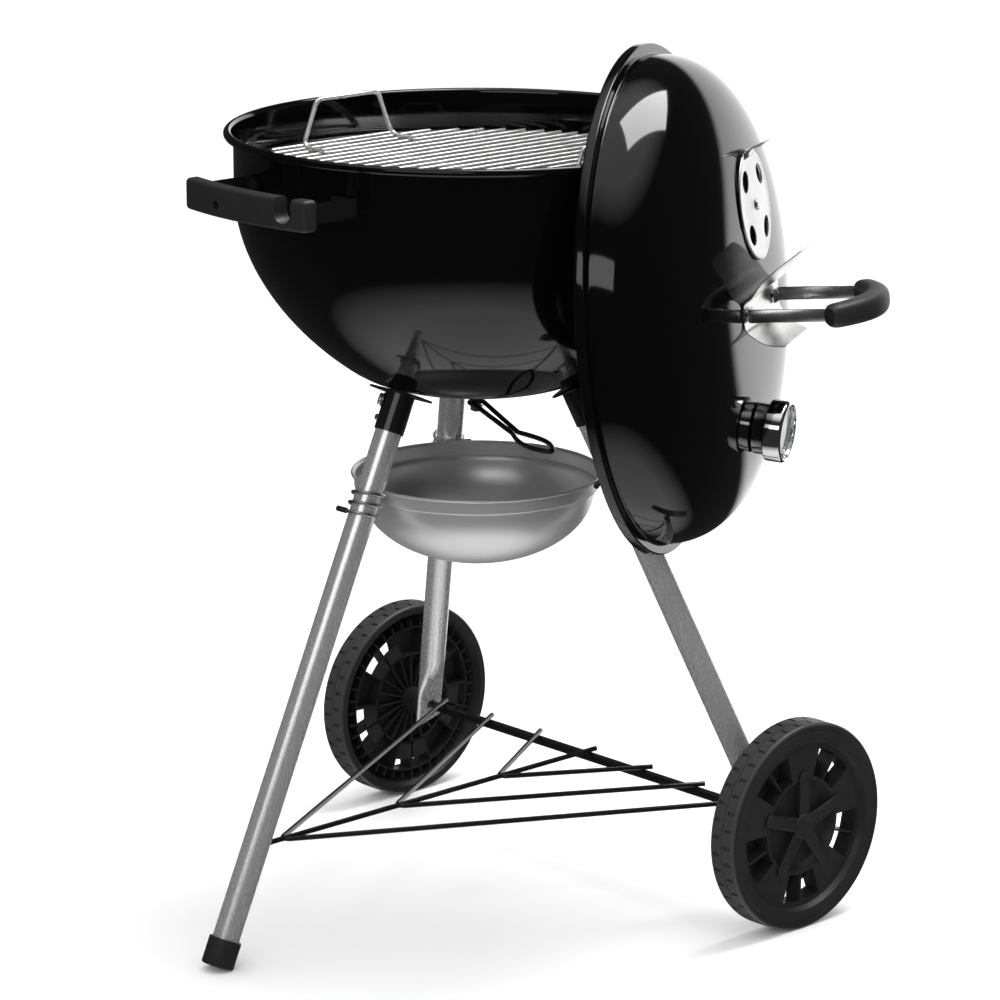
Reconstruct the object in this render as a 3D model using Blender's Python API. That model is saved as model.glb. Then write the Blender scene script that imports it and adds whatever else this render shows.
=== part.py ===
"""Kettle charcoal grill on three legs, with its lid hung on the side of the bowl.

Metres, +Z up. The model is laid out around the kettle's own vertical axis (x = y = 0 while
building); the last step slides the whole grill so that its footprint is centred on the origin.
The axle runs along X at the back, the front leg reaches towards -Y.
"""

import math

import bmesh
import bpy
from mathutils import Matrix, Vector

# ---------------------------------------------------------------- driving dimensions
GAP = 0.0003                # clearance between neighbouring pieces
SHEET = 0.0012              # enamelled steel of bowl and lid

# Bowl: a turned shell with a rolled rim
RIM_RADIUS = 0.2358         # outside of the rolled rim
RIM_HEIGHT = 0.7467         # centre of the rolled rim above the floor
RIM_BEAD = 0.0040           # radius of the roll
BOWL_RADIUS = 0.2267        # outside of the straight wall
BOWL_STRAIGHT = 0.0558      # rim centre down to where the wall starts to curve in
BOWL_CURVE_DEPTH = 0.2128   # depth of the full curve below that line
BOWL_CURVE_POWERS = (1.8892, 1.5847)
BOWL_FLOOR_DROP = 0.2417    # rim centre down to the underside of the bowl's floor
BOWL_BLEND_RADIUS = 0.1250  # inside this radius the curve eases into the flat floor
BOWL_FLAT_RADIUS = 0.0300
VENT_RADII = (0.024, 0.072)
VENT_WIDTH_DEG = 24.0
BOWL_SEGMENTS = 48

# Bowl handle at the front
HANDLE_REACH = 0.0550       # bowl wall to the middle of the grip
HANDLE_SPAN = 0.0750        # half the distance between the two straps
HANDLE_DROP = 0.0360        # rim centre down to the middle of the grip
GRIP_LENGTH = 0.1680
GRIP_HEIGHT = 0.0290
GRIP_DEPTH = 0.0160
GRIP_BOW = 0.0090
STRAP_WIDTH = 0.0180
STRAP_THICKNESS = 0.0030

# Legs
LEG_RADIUS = 0.0127
LEG_WALL = 0.0012
SOCKET_RADIAL = 0.0950      # where a leg's axis meets the bowl
FOOT_REACH = 0.3279         # front foot from the kettle axis, at the floor
WHEEL_LEG_AZIMUTH = 30.0
AXLE_X = 0.2416             # middle of a flattened leg end
AXLE_Y = 0.1532
AXLE_RADIUS = 0.0048
SOCKET_WALL = 0.0012
SOCKET_LENGTH = 0.0397
SOCKET_PLATE = (0.0300, 0.0640, 0.0020)
LEG_START = 0.0048          # leg top below the bowl's skin, along the leg
BOLT_STATION = 0.0125
BUTTON_STATION = 0.0295
BUTTON_RADIUS = 0.0030
BOLT_SHANK = 0.0025
FASTENER_TURN = {"front": 36.0, "right": -50.0, "left": 50.0}
PALM_WIDTH = 0.0340         # flattened leg end
PALM_THICKNESS = 0.0050
PALM_LENGTH = 0.0200        # palm past the axle
FLARE_LENGTH = 0.0700
CAP_WALL = 0.0024
CAP_LENGTH = 0.0260
CAP_FOOT = 0.0070           # solid bottom, worn flat on the floor
CAP_LIFT = 0.0030

# Wheels
WHEEL_RADIUS = 0.1008
WHEEL_WIDTH = 0.0296
WHEEL_INNER_X = 0.2636
WHEEL_DISH_RADIUS = 0.0800
WHEEL_PAD_RADIUS = 0.0450
WHEEL_PAD_DEPTH = 0.0060
WHEEL_WELL_DEPTH = 0.0135
WHEEL_WEB = 0.0035
HUB_RADIUS = 0.0125
HUB_INNER = 0.0125
HUB_TOP_DEPTH = 0.0092
WINDOW_RADII = (0.0480, 0.0755)
WINDOW_WIDTH_DEG = 38.0
SPOKES = 5
STAR_RADIUS = 0.0530
STAR_ARM = 0.0100
STAR_THICKNESS = 0.0025

# Ash pan and the wire clamps that hold it on the legs
PAN_RADIUS = 0.1201
PAN_HEIGHT = 0.4196
PAN_SHEET = 0.0010
PAN_BAND = 0.0130
PAN_STEP = 0.0050
PAN_DEPTH = 0.0700
CLAMP_WIRE = 0.0016
CLAMP_TURNS = 2.5
CLAMP_PITCH = 0.0100
CLAMP_EAR = 0.0170

# Grates and their brackets
GRATE_RADIUS = 0.2225
GRATE_RIM_DROP = 0.0370     # rim centre down to the top of the cooking grate's ring
GRATE_RING_WIRE = 0.0030
GRATE_ROD = 0.0022
GRATE_PITCH = 0.0158
GRATE_HANDLE_X = 0.1840
GRATE_HANDLE_HALF = 0.0565
GRATE_HANDLE_HEIGHT = 0.0440
COAL_RADIUS = 0.1720
COAL_HEIGHT = 0.5800
COAL_PITCH = 0.0200
COAL_ROD = 0.0028
BRACKET_WIDTH = 0.0160
BRACKET_SHEET = 0.0015
BRACKET_ANGLES = (70.0, 190.0, 310.0)

# Ash sweeper
BLADE_REACH = 0.1250
BLADE_WIDTH = 0.0300
BLADE_SHEET = 0.0012
BLADE_GAP = 0.0012
SHAFT_RADIUS = 0.0040
SHAFT_HEAD = (0.0080, 0.0025)
BUSHING = (0.0070, 0.0155)
LEVER_WIRE = 0.0024
LEVER_AZIMUTH = -11.0
LEVER_BEND = (0.0685, 0.0155)    # radius, and drop below the shaft end of the lever
LEVER_TIP = (0.1316, 0.0210)
LEVER_LOOP = 0.0110
NUT_RADIUS = 0.0065
NUT_HEIGHT = 0.0045

# Bottom rack
RACK_WIRE = 0.0025
RACK_ARMS = ((-0.2500, 0.2220), (-0.1070, 0.1520), (0.0260, 0.0800))

# Lid: the centre of its rim plane and the way its dome faces while it hangs
LID_DISTANCE = 0.1700
LID_HEIGHT = 0.5966
LID_AZIMUTH = 29.2
LID_TILT = 4.86
LID_RADIUS = 0.2370
LID_BAND = 0.0100
LID_DOME_RADIUS = 0.2271
LID_DOME_HEIGHT = 0.1055
LID_CURVE_POWERS = (2.29, 3.07)
LID_BEAD = 0.0018
HOOK_WIDTH = 0.0260
HOOK_SHEET = 0.0020
HOOK_REACH = 0.0120

# Lid fittings, placed by how far up or down the dome they sit
DAMPER_UP = 0.0850
DAMPER_RADIUS = 0.0515
DAMPER_SHEET = 0.0010
DAMPER_DISH = 1.0000        # radius of the disc's slight curve
DAMPER_HOLE = 0.0100
DAMPER_HOLE_CIRCLE = 0.0350
DAMPER_TAB_WIDTH = 0.0360
DAMPER_TAB = ((0.0460, 0.0000), (0.0500, 0.0005), (0.0530, 0.0060), (0.0555, 0.0180))
RIVET = (0.0026, 0.0055, 0.0015)
LID_HANDLE_HALF = 0.0550
LID_HANDLE_DOWN = 0.0070
LID_STRAP_LENGTH = 0.0660   # shield to the near end of the grip
LID_STRAP_FOOT = 0.0150
LID_TANG = 0.0120
LID_STRAP_WIDTH = 0.0125
LID_STRAP_SHEET = 0.0020
LID_GRIP_RADIUS = 0.0120
LID_GRIP_BOW = 0.0270
HANDLE_BOLT = (0.0020, 0.0040, 0.0025)
HANDLE_BOLT_SPAN = 0.0460
SHIELD_SHEET = 0.0008
SHIELD_HALF_WIDTH = 0.0620
SHIELD_CURVE = ((-0.0312, 0.0310), (-0.0276, 0.0170), (-0.0191, 0.0065), (-0.0105, 0.0000),
                (0.0105, 0.0000), (0.0180, 0.0080), (0.0324, 0.0194), (0.0458, 0.0360), (0.0565, 0.0510))
DAMPER_SIDE = 0.0100
THERMO_DOWN = 0.1180
THERMO_SIDE = -0.0200
THERMO_RADIUS = 0.0290
THERMO_BODY = 0.0240        # narrower body behind the bezel
THERMO_DEPTH = 0.0300
DIAL_HEIGHT = 0.0170
GLASS_HEIGHT = 0.0240
POINTER_REST = 210.0
PROBE_RADIUS = 0.0025
PROBE_LENGTH = 0.0450
PROBE_NUT = (0.0080, 0.0040)

STEEL_BLACK = ((0.006, 0.006, 0.007), 0.08, 0.0)
BRIGHT_WIRE = ((0.62, 0.62, 0.61), 0.22, 1.0)
LEG_STEEL = ((0.50, 0.50, 0.50), 0.32, 1.0)
ALUMINIUM = ((0.56, 0.56, 0.57), 0.35, 1.0)
CHROME = ((0.70, 0.70, 0.71), 0.07, 1.0)
BLACK_STEEL = ((0.012, 0.012, 0.013), 0.40, 0.0)
NYLON = ((0.030, 0.030, 0.032), 0.55, 0.0)
WHEEL_PLASTIC = ((0.028, 0.028, 0.030), 0.50, 0.0)
PAPER = ((0.75, 0.75, 0.73), 0.60, 0.0)
GLASS = ((0.85, 0.88, 0.88), 0.05, 0.0)

ROOT = None


# ---------------------------------------------------------------- small tools
def clear_scene():
    """Remove what the scene holds, without closing the file the script runs from."""
    for old in list(bpy.data.objects):
        bpy.data.objects.remove(old, do_unlink=True)


def finish_material(name, finish):
    """A Principled material of the piece's own."""
    colour, roughness, metallic = finish
    material = bpy.data.materials.new(name)
    material.use_nodes = True
    shader = material.node_tree.nodes["Principled BSDF"]
    shader.inputs["Base Color"].default_value = (*colour, 1.0)
    shader.inputs["Roughness"].default_value = roughness
    shader.inputs["Metallic"].default_value = metallic
    return material


def add_object(name, mesh, finish=None, parent=None, matrix=None):
    """Link an object for a mesh; with no finish it is a cutter or a piece for a union."""
    piece = bpy.data.objects.new(name, mesh)
    bpy.context.collection.objects.link(piece)
    piece.parent = parent or ROOT
    piece.matrix_basis = matrix or Matrix.Identity(4)
    if finish is None:
        piece.hide_render = True
        piece.display_type = "WIRE"
    else:
        mesh.materials.append(finish_material(name, finish))
    return piece


def to_mesh(name, bm, smooth_angle=35.0):
    """Close a bmesh into a mesh with outward faces and sharp edges kept."""
    bmesh.ops.recalc_face_normals(bm, faces=bm.faces)
    mesh = bpy.data.meshes.new(name)
    bm.to_mesh(mesh)
    bm.free()
    mesh.shade_smooth()
    mesh.set_sharp_from_angle(angle=math.radians(smooth_angle))
    return mesh


def turned(name, profile, segments):
    """Spin a closed (radius, height) outline about Z."""
    bm = bmesh.new()
    corners = [bm.verts.new((radius, 0.0, height)) for radius, height in profile]
    edges = [bm.edges.new((corners[i - 1], corners[i])) for i in range(len(corners))]
    bmesh.ops.spin(bm, geom=corners + edges, axis=(0, 0, 1), cent=(0, 0, 0), steps=segments,
                   angle=2 * math.pi, use_merge=True)
    bmesh.ops.remove_doubles(bm, verts=bm.verts, dist=1e-6)
    bmesh.ops.dissolve_degenerate(bm, edges=bm.edges, dist=1e-7)
    return to_mesh(name, bm)


def box_mesh(name, size, centre=(0, 0, 0)):
    """An upright box."""
    bm = bmesh.new()
    bmesh.ops.create_cube(bm, size=1.0, matrix=Matrix.Translation(centre) @ Matrix.Diagonal((*size, 1.0)))
    return to_mesh(name, bm)


def rod_between(bm, start, end, radius, sides):
    """Add one closed rod to a bmesh."""
    start, end = Vector(start), Vector(end)
    along = end - start
    turn = along.to_track_quat("Z", "Y").to_matrix().to_4x4()
    place = Matrix.Translation((start + end) / 2) @ turn
    bmesh.ops.create_cone(bm, cap_ends=True, segments=sides, radius1=radius, radius2=radius,
                          depth=along.length, matrix=place)


def rods_mesh(name, spans, radius, sides=6):
    """Several separate rods as one mesh."""
    bm = bmesh.new()
    for start, end in spans:
        rod_between(bm, start, end, radius, sides)
    return to_mesh(name, bm)


def swept(name, points, radius, sides=6, closed=False):
    """Sweep a round wire along points, turning its section as little as possible."""
    points = [Vector(point) for point in points]
    count = len(points)
    tangents = []
    for i in range(count):
        before = points[i - 1] if closed or i else points[i]
        after = points[(i + 1) % count] if closed or i < count - 1 else points[i]
        tangents.append((after - before).normalized())
    side = tangents[0].orthogonal().normalized()
    bm = bmesh.new()
    rings = []
    for point, tangent in zip(points, tangents):
        side = (side - tangent * side.dot(tangent)).normalized()
        other = tangent.cross(side)
        ring = []
        for k in range(sides):
            angle = 2 * math.pi * k / sides
            ring.append(bm.verts.new(point + radius * (math.cos(angle) * side + math.sin(angle) * other)))
        rings.append(ring)
    pairs = list(zip(rings, rings[1:]))
    for low, high in pairs:
        for k in range(sides):
            bm.faces.new((low[k - 1], low[k], high[k], high[k - 1]))
    if closed:
        join_rings(bm, rings[-1], rings[0])
    else:
        bm.faces.new(rings[0])
        bm.faces.new(rings[-1])
    return to_mesh(name, bm, 50.0)


def join_rings(bm, last, first):
    """Close a swept loop, matching the nearest vertices of its two ends."""
    count = len(last)
    shift = min(range(count), key=lambda s: (last[0].co - first[s].co).length)
    for k in range(count):
        bm.faces.new((last[k - 1], last[k], first[(k + shift) % count], first[(k - 1 + shift) % count]))


def strip_mesh(name, path, width, sheet):
    """A flat strip bent along a (y, z) path, its width along X."""
    left, right = offset_path(path, sheet / 2)
    outline = left + right[::-1]
    bm = bmesh.new()
    near = [bm.verts.new((-width / 2, y, z)) for y, z in outline]
    face = bm.faces.new(near)
    grown = bmesh.ops.extrude_face_region(bm, geom=[face])
    moved = [v for v in grown["geom"] if isinstance(v, bmesh.types.BMVert)]
    bmesh.ops.translate(bm, verts=moved, vec=(width, 0, 0))
    return to_mesh(name, bm, 30.0)


def offset_path(path, half):
    """The two sides of a path in the plane, each `half` away, with mitred corners."""
    points = [Vector(point) for point in path]
    left, right = [], []
    for i, point in enumerate(points):
        before = (point - points[i - 1]).normalized() if i else None
        after = (points[i + 1] - point).normalized() if i < len(points) - 1 else None
        along = ((before or after) + (after or before)).normalized()
        normal = Vector((-along.y, along.x))
        reach = half / max(0.3, along.dot(after or before))
        left.append(point + normal * reach)
        right.append(point - normal * reach)
    return left, right


def prism(name, outline, low, high):
    """Extrude an (x, y) outline from z = low to z = high."""
    bm = bmesh.new()
    face = bm.faces.new([bm.verts.new((x, y, low)) for x, y in outline])
    grown = bmesh.ops.extrude_face_region(bm, geom=[face])
    moved = [v for v in grown["geom"] if isinstance(v, bmesh.types.BMVert)]
    bmesh.ops.translate(bm, verts=moved, vec=(0, 0, high - low))
    return to_mesh(name, bm, 30.0)


def polygon(radius, corners, start_deg=0.0):
    """Corners of a regular polygon."""
    angles = [math.radians(start_deg) + 2 * math.pi * k / corners for k in range(corners)]
    return [(radius * math.cos(a), radius * math.sin(a)) for a in angles]


def joined(name, meshes):
    """One mesh of several that do not touch."""
    bm = bmesh.new()
    for mesh in meshes:
        bm.from_mesh(mesh)
        bpy.data.meshes.remove(mesh)
    return to_mesh(name, bm)


def moved_mesh(mesh, matrix):
    """The mesh, carried by a matrix."""
    mesh.transform(matrix)
    return mesh


def boolean(piece, other, operation):
    """Cut or join with the exact solver."""
    step = piece.modifiers.new(other.name, "BOOLEAN")
    step.operation = operation
    step.object = other
    step.solver = "EXACT"


def cut(piece, *cutters):
    for cutter in cutters:
        boolean(piece, cutter, "DIFFERENCE")


def join(piece, *others):
    for other in others:
        boolean(piece, other, "UNION")


def frame_matrix(origin, x_axis, y_axis, z_axis):
    """A placing matrix from an origin and three axes."""
    matrix = Matrix((x_axis, y_axis, z_axis)).transposed().to_4x4()
    matrix.translation = origin
    return matrix


def add_body(name, place, parent=None):
    """An empty that carries a moving group, with its origin on the joint."""
    body = bpy.data.objects.new(name, None)
    bpy.context.collection.objects.link(body)
    body.parent = parent or ROOT
    body.matrix_basis = place if isinstance(place, Matrix) else Matrix.Translation(place)
    return body


def carried(body, matrix):
    """A matrix given around the kettle axis, seen from a moving body."""
    return body.matrix_basis.inverted() @ matrix


# ---------------------------------------------------------------- shapes that others follow
BOWL_FLOOR = RIM_HEIGHT - BOWL_FLOOR_DROP
RIM_RING = RIM_RADIUS - RIM_BEAD


def curve_height(radius):
    """Height of the bowl's outer skin on its main curve."""
    p, q = BOWL_CURVE_POWERS
    share = min(1.0, radius / BOWL_RADIUS)
    top = RIM_HEIGHT - BOWL_STRAIGHT
    return top - BOWL_CURVE_DEPTH * (1 - share ** q) ** (1 / p)


def bowl_height(radius):
    """Height of the bowl's outer skin at a radius, down to its flat floor."""
    if radius >= BOWL_BLEND_RADIUS:
        return curve_height(radius)
    if radius <= BOWL_FLAT_RADIUS:
        return BOWL_FLOOR
    step = 0.001
    slope = (curve_height(BOWL_BLEND_RADIUS + step) - curve_height(BOWL_BLEND_RADIUS)) / step
    span = BOWL_BLEND_RADIUS - BOWL_FLAT_RADIUS
    s = (radius - BOWL_FLAT_RADIUS) / span
    rise = curve_height(BOWL_BLEND_RADIUS) - BOWL_FLOOR
    return BOWL_FLOOR + rise * (3 * s ** 2 - 2 * s ** 3) + slope * span * (s ** 3 - s ** 2)


def bowl_radius(height):
    """Radius of the bowl's outer skin at a height."""
    low, high = BOWL_FLAT_RADIUS, BOWL_RADIUS
    for _ in range(40):
        middle = (low + high) / 2
        if bowl_height(middle) < height:
            low = middle
        else:
            high = middle
    return high


def lid_depth(radius):
    """How far the lid's outer skin stands out from its rim plane at a radius."""
    p, q = LID_CURVE_POWERS
    share = min(1.0, radius / LID_DOME_RADIUS)
    return LID_BAND + (LID_DOME_HEIGHT - LID_BAND) * (1 - share ** q) ** (1 / p)


def shell_outline(outer, sheet):
    """Close an outer (radius, height) curve into a thin wall on its inner side."""
    points = [Vector(point) for point in outer]
    inner = []
    for i, point in enumerate(points):
        before = points[max(i - 1, 0)]
        after = points[min(i + 1, len(points) - 1)]
        along = (after - before).normalized()
        radius = point.x + along.y * sheet if point.x else 0.0
        inner.append((radius, point.y - along.x * sheet))
    return inner


def superellipse_angles(count):
    """Even steps along a quarter curve, from the rim to the pole."""
    return [math.pi / 2 * k / count for k in range(count + 1)]


def leg_frame(which):
    """Local Z runs down a leg from the bowl's skin, local X faces away from the kettle axis."""
    azimuth = {"front": -90.0, "right": WHEEL_LEG_AZIMUTH, "left": 180.0 - WHEEL_LEG_AZIMUTH}[which]
    outward = Vector((math.cos(math.radians(azimuth)), math.sin(math.radians(azimuth)), 0))
    top = outward * SOCKET_RADIAL + Vector((0, 0, bowl_height(SOCKET_RADIAL)))
    ends = {
        "front": Vector((0, -FOOT_REACH, 0)),
        "right": Vector((AXLE_X, AXLE_Y, WHEEL_RADIUS)),
        "left": Vector((-AXLE_X, AXLE_Y, WHEEL_RADIUS)),
    }
    down = ends[which] - top
    length = down.length
    down.normalize()
    out = (outward - down * outward.dot(down)).normalized()
    return frame_matrix(top, out, down.cross(out), down), length


LEGS = ("front", "left", "right")


def lid_frame():
    """Local Z is the dome's axis, local Y runs up the hanging lid, local X is level."""
    turn, tilt = math.radians(LID_AZIMUTH), math.radians(LID_TILT)
    away = Vector((math.cos(turn), math.sin(turn), 0))
    axis = away * math.cos(tilt) + Vector((0, 0, math.sin(tilt)))
    level = axis.cross(Vector((0, 0, 1))).normalized()
    centre = away * LID_DISTANCE + Vector((0, 0, LID_HEIGHT))
    return frame_matrix(centre, -level, axis.cross(-level), axis)


def on_dome(side, up):
    """Placing matrix on the lid's outer skin: local Z is the dome's normal, local Y is up."""
    radius = math.hypot(side, up)
    step = 0.0005
    slope = (lid_depth(radius + step) - lid_depth(radius - step)) / (2 * step)
    lean = Vector((side / radius, up / radius, 0)) if radius else Vector((0, 0, 0))
    normal = (Vector((0, 0, 1)) - lean * slope).normalized()
    level = Vector((0, 1, 0)).cross(normal).normalized()
    return frame_matrix(Vector((side, up, lid_depth(radius))), level, normal.cross(level), normal)


# ---------------------------------------------------------------- bowl and what is fixed to it
def bead_points(ring, height, radius, start, stop, steps):
    """Points around a rolled rim, between two angles in degrees."""
    angles = [math.radians(start + (stop - start) * k / steps) for k in range(steps + 1)]
    return [(ring + radius * math.cos(a), height + radius * math.sin(a)) for a in angles]


def bowl_skin():
    """The bowl's outer skin below the rim, from the straight wall to the middle of its floor."""
    p, q = BOWL_CURVE_POWERS
    top = RIM_HEIGHT - BOWL_STRAIGHT
    points = [(BOWL_RADIUS, RIM_HEIGHT - 3 * RIM_BEAD), (BOWL_RADIUS, top)]
    for angle in superellipse_angles(8)[1:]:
        radius = BOWL_RADIUS * math.cos(angle) ** (2 / q)
        if radius > BOWL_BLEND_RADIUS * 1.05:
            points.append((radius, top - BOWL_CURVE_DEPTH * math.sin(angle) ** (2 / p)))
    steps = 4
    for k in range(steps + 1):
        radius = BOWL_BLEND_RADIUS + (BOWL_FLAT_RADIUS - BOWL_BLEND_RADIUS) * k / steps
        points.append((radius, bowl_height(radius)))
    points.append((0.0, BOWL_FLOOR))
    return points


def sector(inner, outer, middle_deg, width_deg, steps=4):
    """Outline of a slot that follows two circles."""
    angles = [math.radians(middle_deg + width_deg * (k / steps - 0.5)) for k in range(steps + 1)]
    outline = [(outer * math.cos(a), outer * math.sin(a)) for a in angles]
    return outline + [(inner * math.cos(a), inner * math.sin(a)) for a in reversed(angles)]


def build_bowl():
    skin = bowl_skin()
    bead = bead_points(RIM_RING, RIM_HEIGHT, RIM_BEAD, 180, -135, 6)
    outline = bead + skin + shell_outline(skin, SHEET)[::-1]
    bowl = add_object("bowl", turned("bowl", outline, BOWL_SEGMENTS), STEEL_BLACK)
    slots = [
        prism("slot", sector(*VENT_RADII, angle, VENT_WIDTH_DEG), BOWL_FLOOR - 0.01, BOWL_FLOOR + 0.02)
        for angle in (30.0, 150.0, 270.0)
    ]
    slots.append(prism("shaft_hole", polygon(SHAFT_RADIUS + 2 * GAP, 12), BOWL_FLOOR - 0.01, BOWL_FLOOR + 0.02))
    cut(bowl, add_object("bowl_openings", joined("bowl_openings", slots)))


def bowl_handle():
    """Two straps welded to the bowl's front, and the nylon grip between them."""
    middle = RIM_HEIGHT - HANDLE_DROP
    wall = BOWL_RADIUS + 2 * GAP + STRAP_THICKNESS / 2
    grip_y = -(BOWL_RADIUS + HANDLE_REACH)
    tang = GRIP_DEPTH * 0.6
    upright = Matrix(((0, 1, 0, 0), (0, 0, 1, 0), (1, 0, 0, middle), (0, 0, 0, 1)))
    slots = []
    for sign, side in ((-1, "left"), (1, "right")):
        foot = [HANDLE_SPAN - 0.022, HANDLE_SPAN - 0.011, HANDLE_SPAN]
        path = [(sign * x, -math.sqrt(wall ** 2 - x ** 2)) for x in foot]
        path.append((sign * HANDLE_SPAN, grip_y - GRIP_DEPTH / 2 + GRIP_BOW * 0.8 + tang / 2))
        name = f"bowl_handle_strap_{side}"
        add_object(name, moved_mesh(strip_mesh(name, path, STRAP_WIDTH, STRAP_THICKNESS), upright), BLACK_STEEL)
        slot = (STRAP_THICKNESS + 2 * GAP, 4 * tang, STRAP_WIDTH + 2 * GAP)
        depth = path[-1][1] + 2 * tang - 2 * GAP
        slots.append(box_mesh("strap_slot", slot, (sign * HANDLE_SPAN, depth, middle)))

    half = GRIP_LENGTH / 2
    steps = 8
    stations = [half * (2 * k / steps - 1) for k in range(steps + 1)]
    front = [(x, grip_y - GRIP_DEPTH / 2 + GRIP_BOW * (x / half) ** 2) for x in stations]
    back = [(x, y + GRIP_DEPTH) for x, y in reversed(front)]
    low = middle - GRIP_HEIGHT / 2
    mesh = prism("bowl_handle_grip", front + back, low, low + GRIP_HEIGHT)
    grip = add_object("bowl_handle_grip", mesh, NYLON)
    soft = grip.modifiers.new("soft_edges", "BEVEL")
    soft.width = 0.004
    soft.segments = 2
    soft.limit_method = "ANGLE"
    soft.angle_limit = math.radians(60)
    notch_x = half - 0.026
    slots.append(box_mesh("tool_notch", (0.021, 0.06, 0.034), (notch_x, grip_y, low + GRIP_HEIGHT)))
    turn = Matrix.Translation((-0.031, grip_y, middle - 0.003)) @ Matrix.Rotation(math.pi / 2, 4, "X")
    slots.append(moved_mesh(prism("hang_hole", polygon(0.0045, 12), -0.03, 0.03), turn))
    cut(grip, add_object("grip_openings", joined("grip_openings", slots)))


def inner_radius(height):
    """Radius of the bowl's inner skin at a height, on the middle of a facet."""
    wall = shell_outline(bowl_skin(), SHEET)
    for (outer, high), (inner, low) in zip(wall, wall[1:]):
        if low <= height < high:
            share = (height - low) / (high - low)
            return (inner + (outer - inner) * share) * math.cos(math.pi / BOWL_SEGMENTS)
    return (BOWL_RADIUS - SHEET) * math.cos(math.pi / BOWL_SEGMENTS)


def brackets(name, top, tab, drop):
    """Bent tabs inside the bowl that a grate rests on."""
    clear = 2 * GAP
    half = BRACKET_SHEET / 2
    low = top - half - drop
    for number, angle in enumerate(BRACKET_ANGLES, start=1):
        path = [
            (inner_radius(low) - clear - half * 1.6, low),
            (inner_radius(top - half) - clear - half * 1.6, top - half),
            (inner_radius(top - half) - tab, top - half),
        ]
        piece = f"{name}_{number}"
        mesh = strip_mesh(piece, path, BRACKET_WIDTH, BRACKET_SHEET)
        turn = Matrix.Rotation(math.radians(angle - 90), 4, "Z")
        add_object(piece, moved_mesh(mesh, turn), STEEL_BLACK)


# ---------------------------------------------------------------- grates
def ring_mesh(name, radius, height, wire, segments):
    """A round wire ring."""
    angles = [2 * math.pi * k / segments for k in range(segments)]
    points = [(radius * math.cos(a), radius * math.sin(a), height) for a in angles]
    return swept(name, points, wire, 6, closed=True)


def grate_rods(ring, pitch, height, wire):
    """Parallel rods along Y that end on a ring."""
    reach = int(ring / pitch)
    spans = []
    for k in range(-reach, reach + 1):
        x = k * pitch
        if abs(x) < ring - 2 * GRATE_RING_WIRE:
            y = math.sqrt(ring ** 2 - x ** 2)
            spans.append(((x, -y, height), (x, y, height)))
    return rods_mesh("rods", spans, wire)


def build_cooking_grate():
    """Ring with rods welded across it and a hinge-free wire handle at each side."""
    ring = GRATE_RADIUS - GRATE_RING_WIRE
    ring_z = RIM_HEIGHT - GRATE_RIM_DROP - GRATE_RING_WIRE
    bite = 0.0010
    rod_z = ring_z + GRATE_RING_WIRE + GRATE_ROD - bite
    cross_z = rod_z - 2 * GRATE_ROD + bite
    wire_z = rod_z + 2 * GRATE_ROD - bite
    body = add_body("cooking_grate_body", (0, 0, ring_z))
    place = carried(body, Matrix.Identity(4))
    grate = add_object("cooking_grate", grate_rods(ring, GRATE_PITCH, rod_z, GRATE_ROD), BRIGHT_WIRE, body, place)
    hoop = add_object("cooking_ring", ring_mesh("cooking_ring", ring, ring_z, GRATE_RING_WIRE, 40))
    cross = [((-ring, 0, cross_z), (ring, 0, cross_z))]
    bar = add_object("cooking_cross_bar", rods_mesh("cooking_cross_bar", cross, GRATE_ROD))
    join(grate, hoop, bar)
    for sign in (-1, 1):
        inner = sign * (GRATE_HANDLE_X - 0.0340)
        outer = sign * GRATE_HANDLE_X
        foot, top = GRATE_HANDLE_HALF, GRATE_HANDLE_HALF - 0.0180
        high = wire_z + GRATE_HANDLE_HEIGHT
        path = [(inner, -foot, wire_z), (outer - sign * 0.004, -foot, wire_z), (outer, -foot, wire_z + 0.004),
                (outer, -top - 0.004, high - 0.007), (outer, -top + 0.004, high),
                (outer, top - 0.004, high), (outer, top + 0.004, high - 0.007),
                (outer, foot, wire_z + 0.004), (outer - sign * 0.004, foot, wire_z), (inner, foot, wire_z)]
        name = "cooking_handle_left" if sign < 0 else "cooking_handle_right"
        join(grate, add_object(name, swept(name, path, GRATE_ROD)))
    brackets("cooking_grate_bracket", ring_z - GRATE_RING_WIRE - GAP, 0.0140, 0.0110)


def build_charcoal_grate():
    ring = COAL_RADIUS - GRATE_RING_WIRE
    bite = 0.0010
    rod_z = COAL_HEIGHT + GRATE_RING_WIRE + COAL_ROD - bite
    body = add_body("charcoal_grate_body", (0, 0, COAL_HEIGHT))
    place = carried(body, Matrix.Identity(4))
    grate = add_object("charcoal_grate", grate_rods(ring, COAL_PITCH, rod_z, COAL_ROD), BLACK_STEEL, body, place)
    hoop = add_object("charcoal_ring", ring_mesh("charcoal_ring", ring, COAL_HEIGHT, GRATE_RING_WIRE, 32))
    spread = ring * 0.5
    cross_z = rod_z - 2 * COAL_ROD + bite
    half = math.sqrt(ring ** 2 - spread ** 2)
    spans = [((-half, y, cross_z), (half, y, cross_z)) for y in (-spread, spread)]
    bars = add_object("charcoal_cross_bars", rods_mesh("charcoal_cross_bars", spans, COAL_ROD))
    join(grate, hoop, bars)
    brackets("charcoal_grate_bracket", COAL_HEIGHT - GRATE_RING_WIRE - GAP, 0.0170, 0.0110)


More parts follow.
